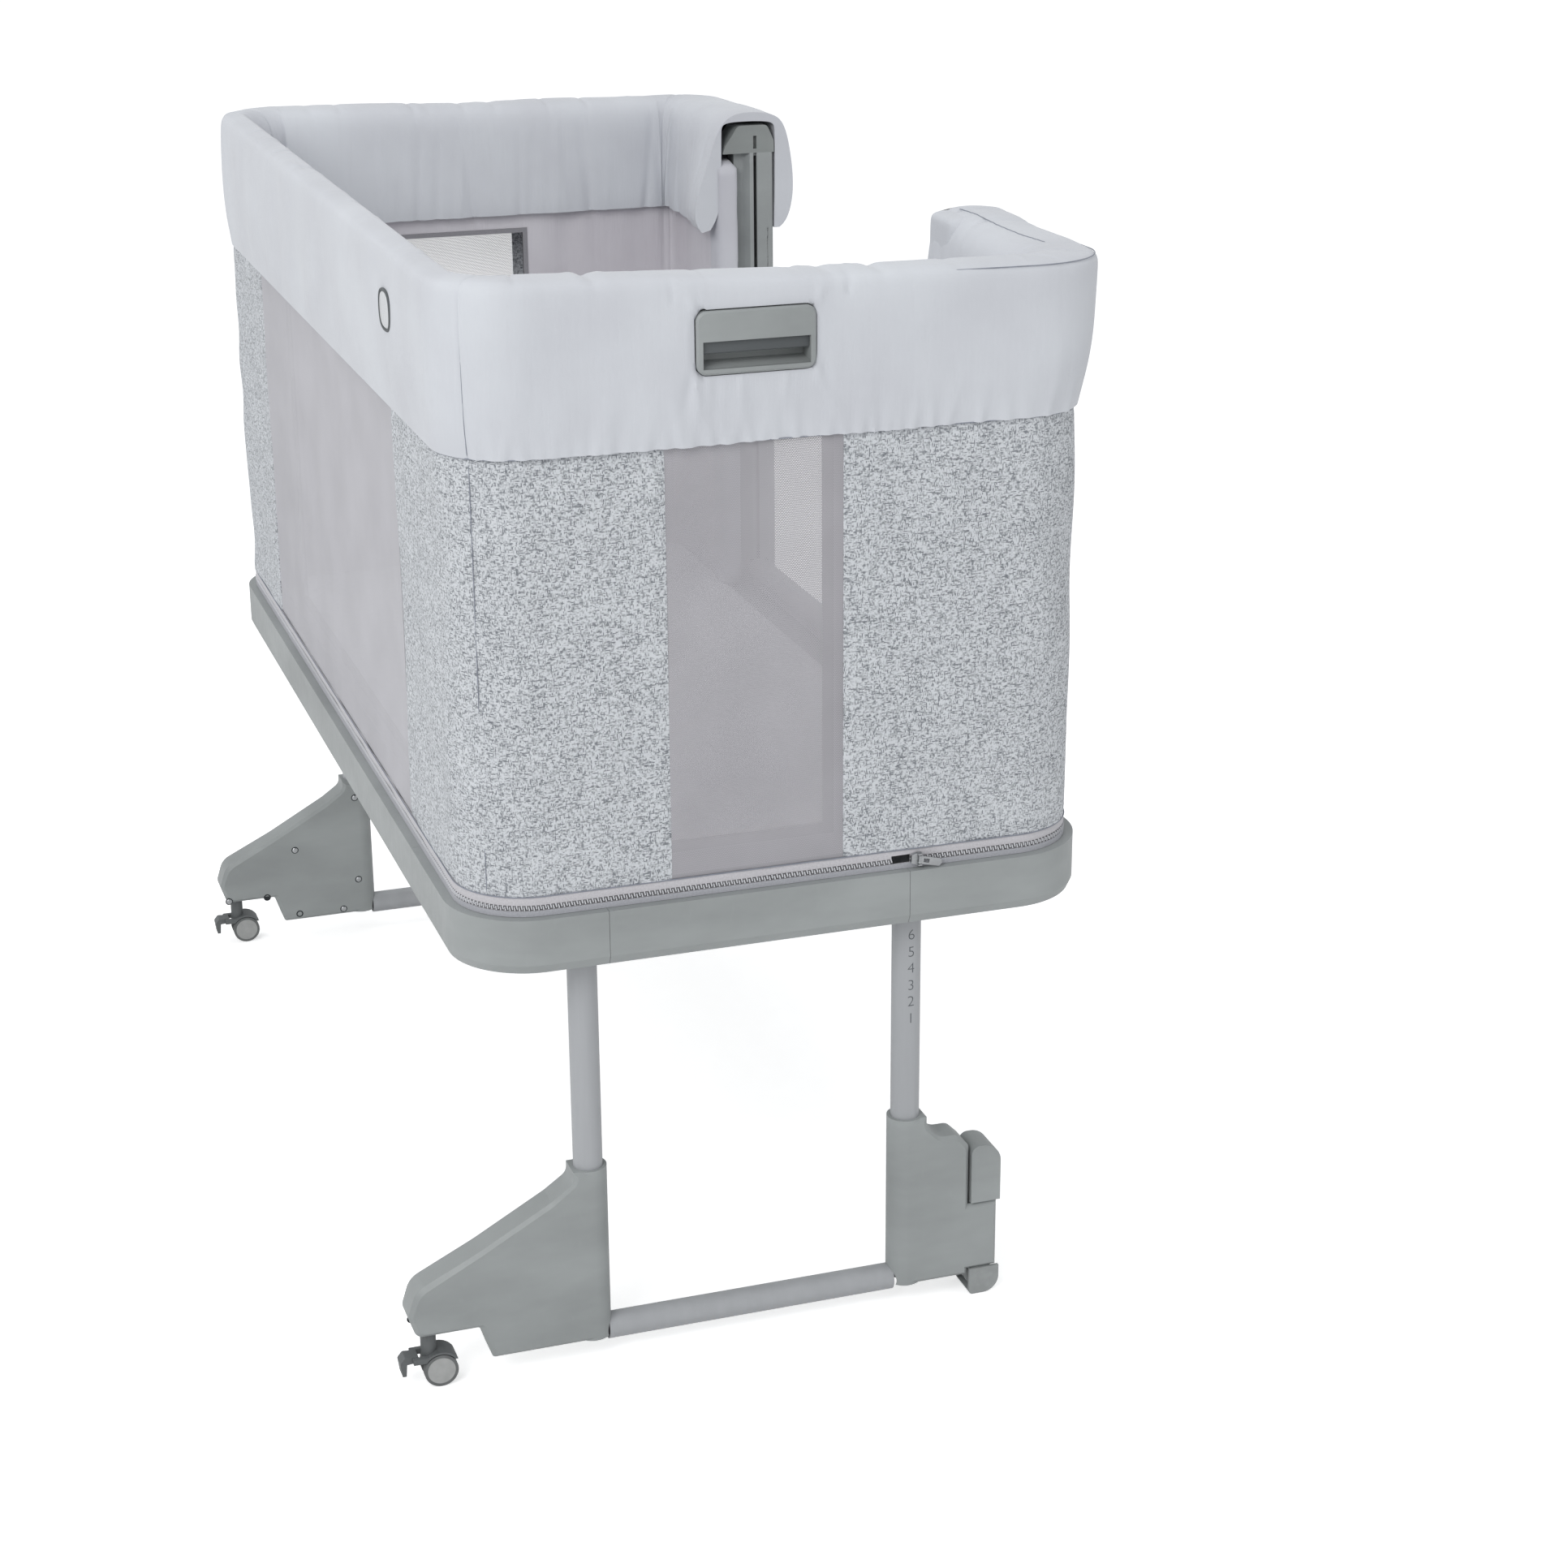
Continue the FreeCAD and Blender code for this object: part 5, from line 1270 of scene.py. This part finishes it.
studio = {"floorHalf": 30.0, "floorGlow": 0.52, "floorHeight": -0.0005, "worldTint": (0.97, 0.985, 1.0, 1.0),
          "worldPower": 0.60, "aim": (0.05, 0.0, 0.6),
          # place, width and watts
          "lamps": {"keyLight": ((-3.0, -3.4, 3.6), 2.6, 105.0), "fillLight": ((3.2, -2.6, 2.4), 2.6, 18.0),
                    "topLight": ((0.0, 0.6, 4.6), 3.0, 26.0), "sideLight": ((-2.6, 2.0, 2.2), 1.6, 16.0)}}


def stageFloor():
    # a wide pale floor that looks white to the camera and keeps the shadow
    f = Finish("floorPaint")
    path = f.add("LightPath", {}, {}, "Is Camera Ray")
    speck = f.noise(f.place(), 40.0, 3.0)
    paint = f.mix(f.remap(speck, 0.3, 0.7), tone(243, 243, 243), tone(247, 247, 247))
    plain = f.add("BsdfDiffuse", {}, {"Color": paint})
    glow = f.add("Emission", {}, {"Color": (1, 1, 1, 1), "Strength": studio["floorGlow"]})
    lit = f.add("AddShader", {}, {0: plain, 1: glow})
    f.add("OutputMaterial", {}, {0: f.add("MixShader", {}, {0: path, 1: plain, 2: lit})})
    half, low = studio["floorHalf"], studio["floorHeight"]
    corners = np.array([(-half, -half, low), (half, -half, low), (half, half, low), (-half, half, low)])
    floor = fillMesh("studioFloor", corners, np.array([[0, 1, 2, 3]]), f.material)


def studioLight():
    # an even pale sky that the camera sees as white, and square lamps aimed at the middle of the crib
    world = bpy.data.worlds.new("studioWorld")
    scene.world = world
    world.use_nodes = True
    tree = world.node_tree
    tree.nodes.clear()
    out = tree.nodes.new("ShaderNodeOutputWorld")
    soft = tree.nodes.new("ShaderNodeBackground")
    soft.inputs[0].default_value = studio["worldTint"]
    soft.inputs[1].default_value = studio["worldPower"]
    white = tree.nodes.new("ShaderNodeBackground")
    white.inputs[0].default_value = (1.0, 1.0, 1.0, 1.0)
    white.inputs[1].default_value = 1.0
    path = tree.nodes.new("ShaderNodeLightPath")
    mix = tree.nodes.new("ShaderNodeMixShader")
    tree.links.new(path.outputs["Is Camera Ray"], mix.inputs[0])
    tree.links.new(soft.outputs[0], mix.inputs[1])
    tree.links.new(white.outputs[0], mix.inputs[2])
    tree.links.new(mix.outputs[0], out.inputs[0])
    for name, (place, size, power) in studio["lamps"].items():
        lamp = bpy.data.lights.new(name, "AREA")
        lamp.shape = "SQUARE"
        lamp.size = size
        lamp.energy = power
        holder = bpy.data.objects.new(name, lamp)
        holder.location = place
        aim = Vector(studio["aim"]) - Vector(place)
        holder.rotation_euler = aim.to_track_quat("-Z", "Y").to_euler()
        scene.collection.objects.link(holder)


view = {"place": (-0.8407, -3.2277, 1.6085), "heading": -18.68, "down": 20.06, "roll": -0.32, "lens": 68.5}


def makeCamera():
    data = bpy.data.cameras.new("camera")
    data.sensor_width = 36.0
    data.lens = view["lens"]
    data.clip_start = 0.05
    data.clip_end = 100.0
    camera = bpy.data.objects.new("camera", data)
    camera.location = view["place"]
    turn = Matrix.Rotation(math.radians(view["heading"]), 3, "Z") \
        @ Matrix.Rotation(math.radians(90 - view["down"]), 3, "X") \
        @ Matrix.Rotation(math.radians(view["roll"]), 3, "Z")
    camera.rotation_euler = turn.to_euler()
    scene.collection.objects.link(camera)
    scene.camera = camera


stageFloor()
studioLight()
makeCamera()
scene.view_settings.view_transform = "Standard"
print("studio made")
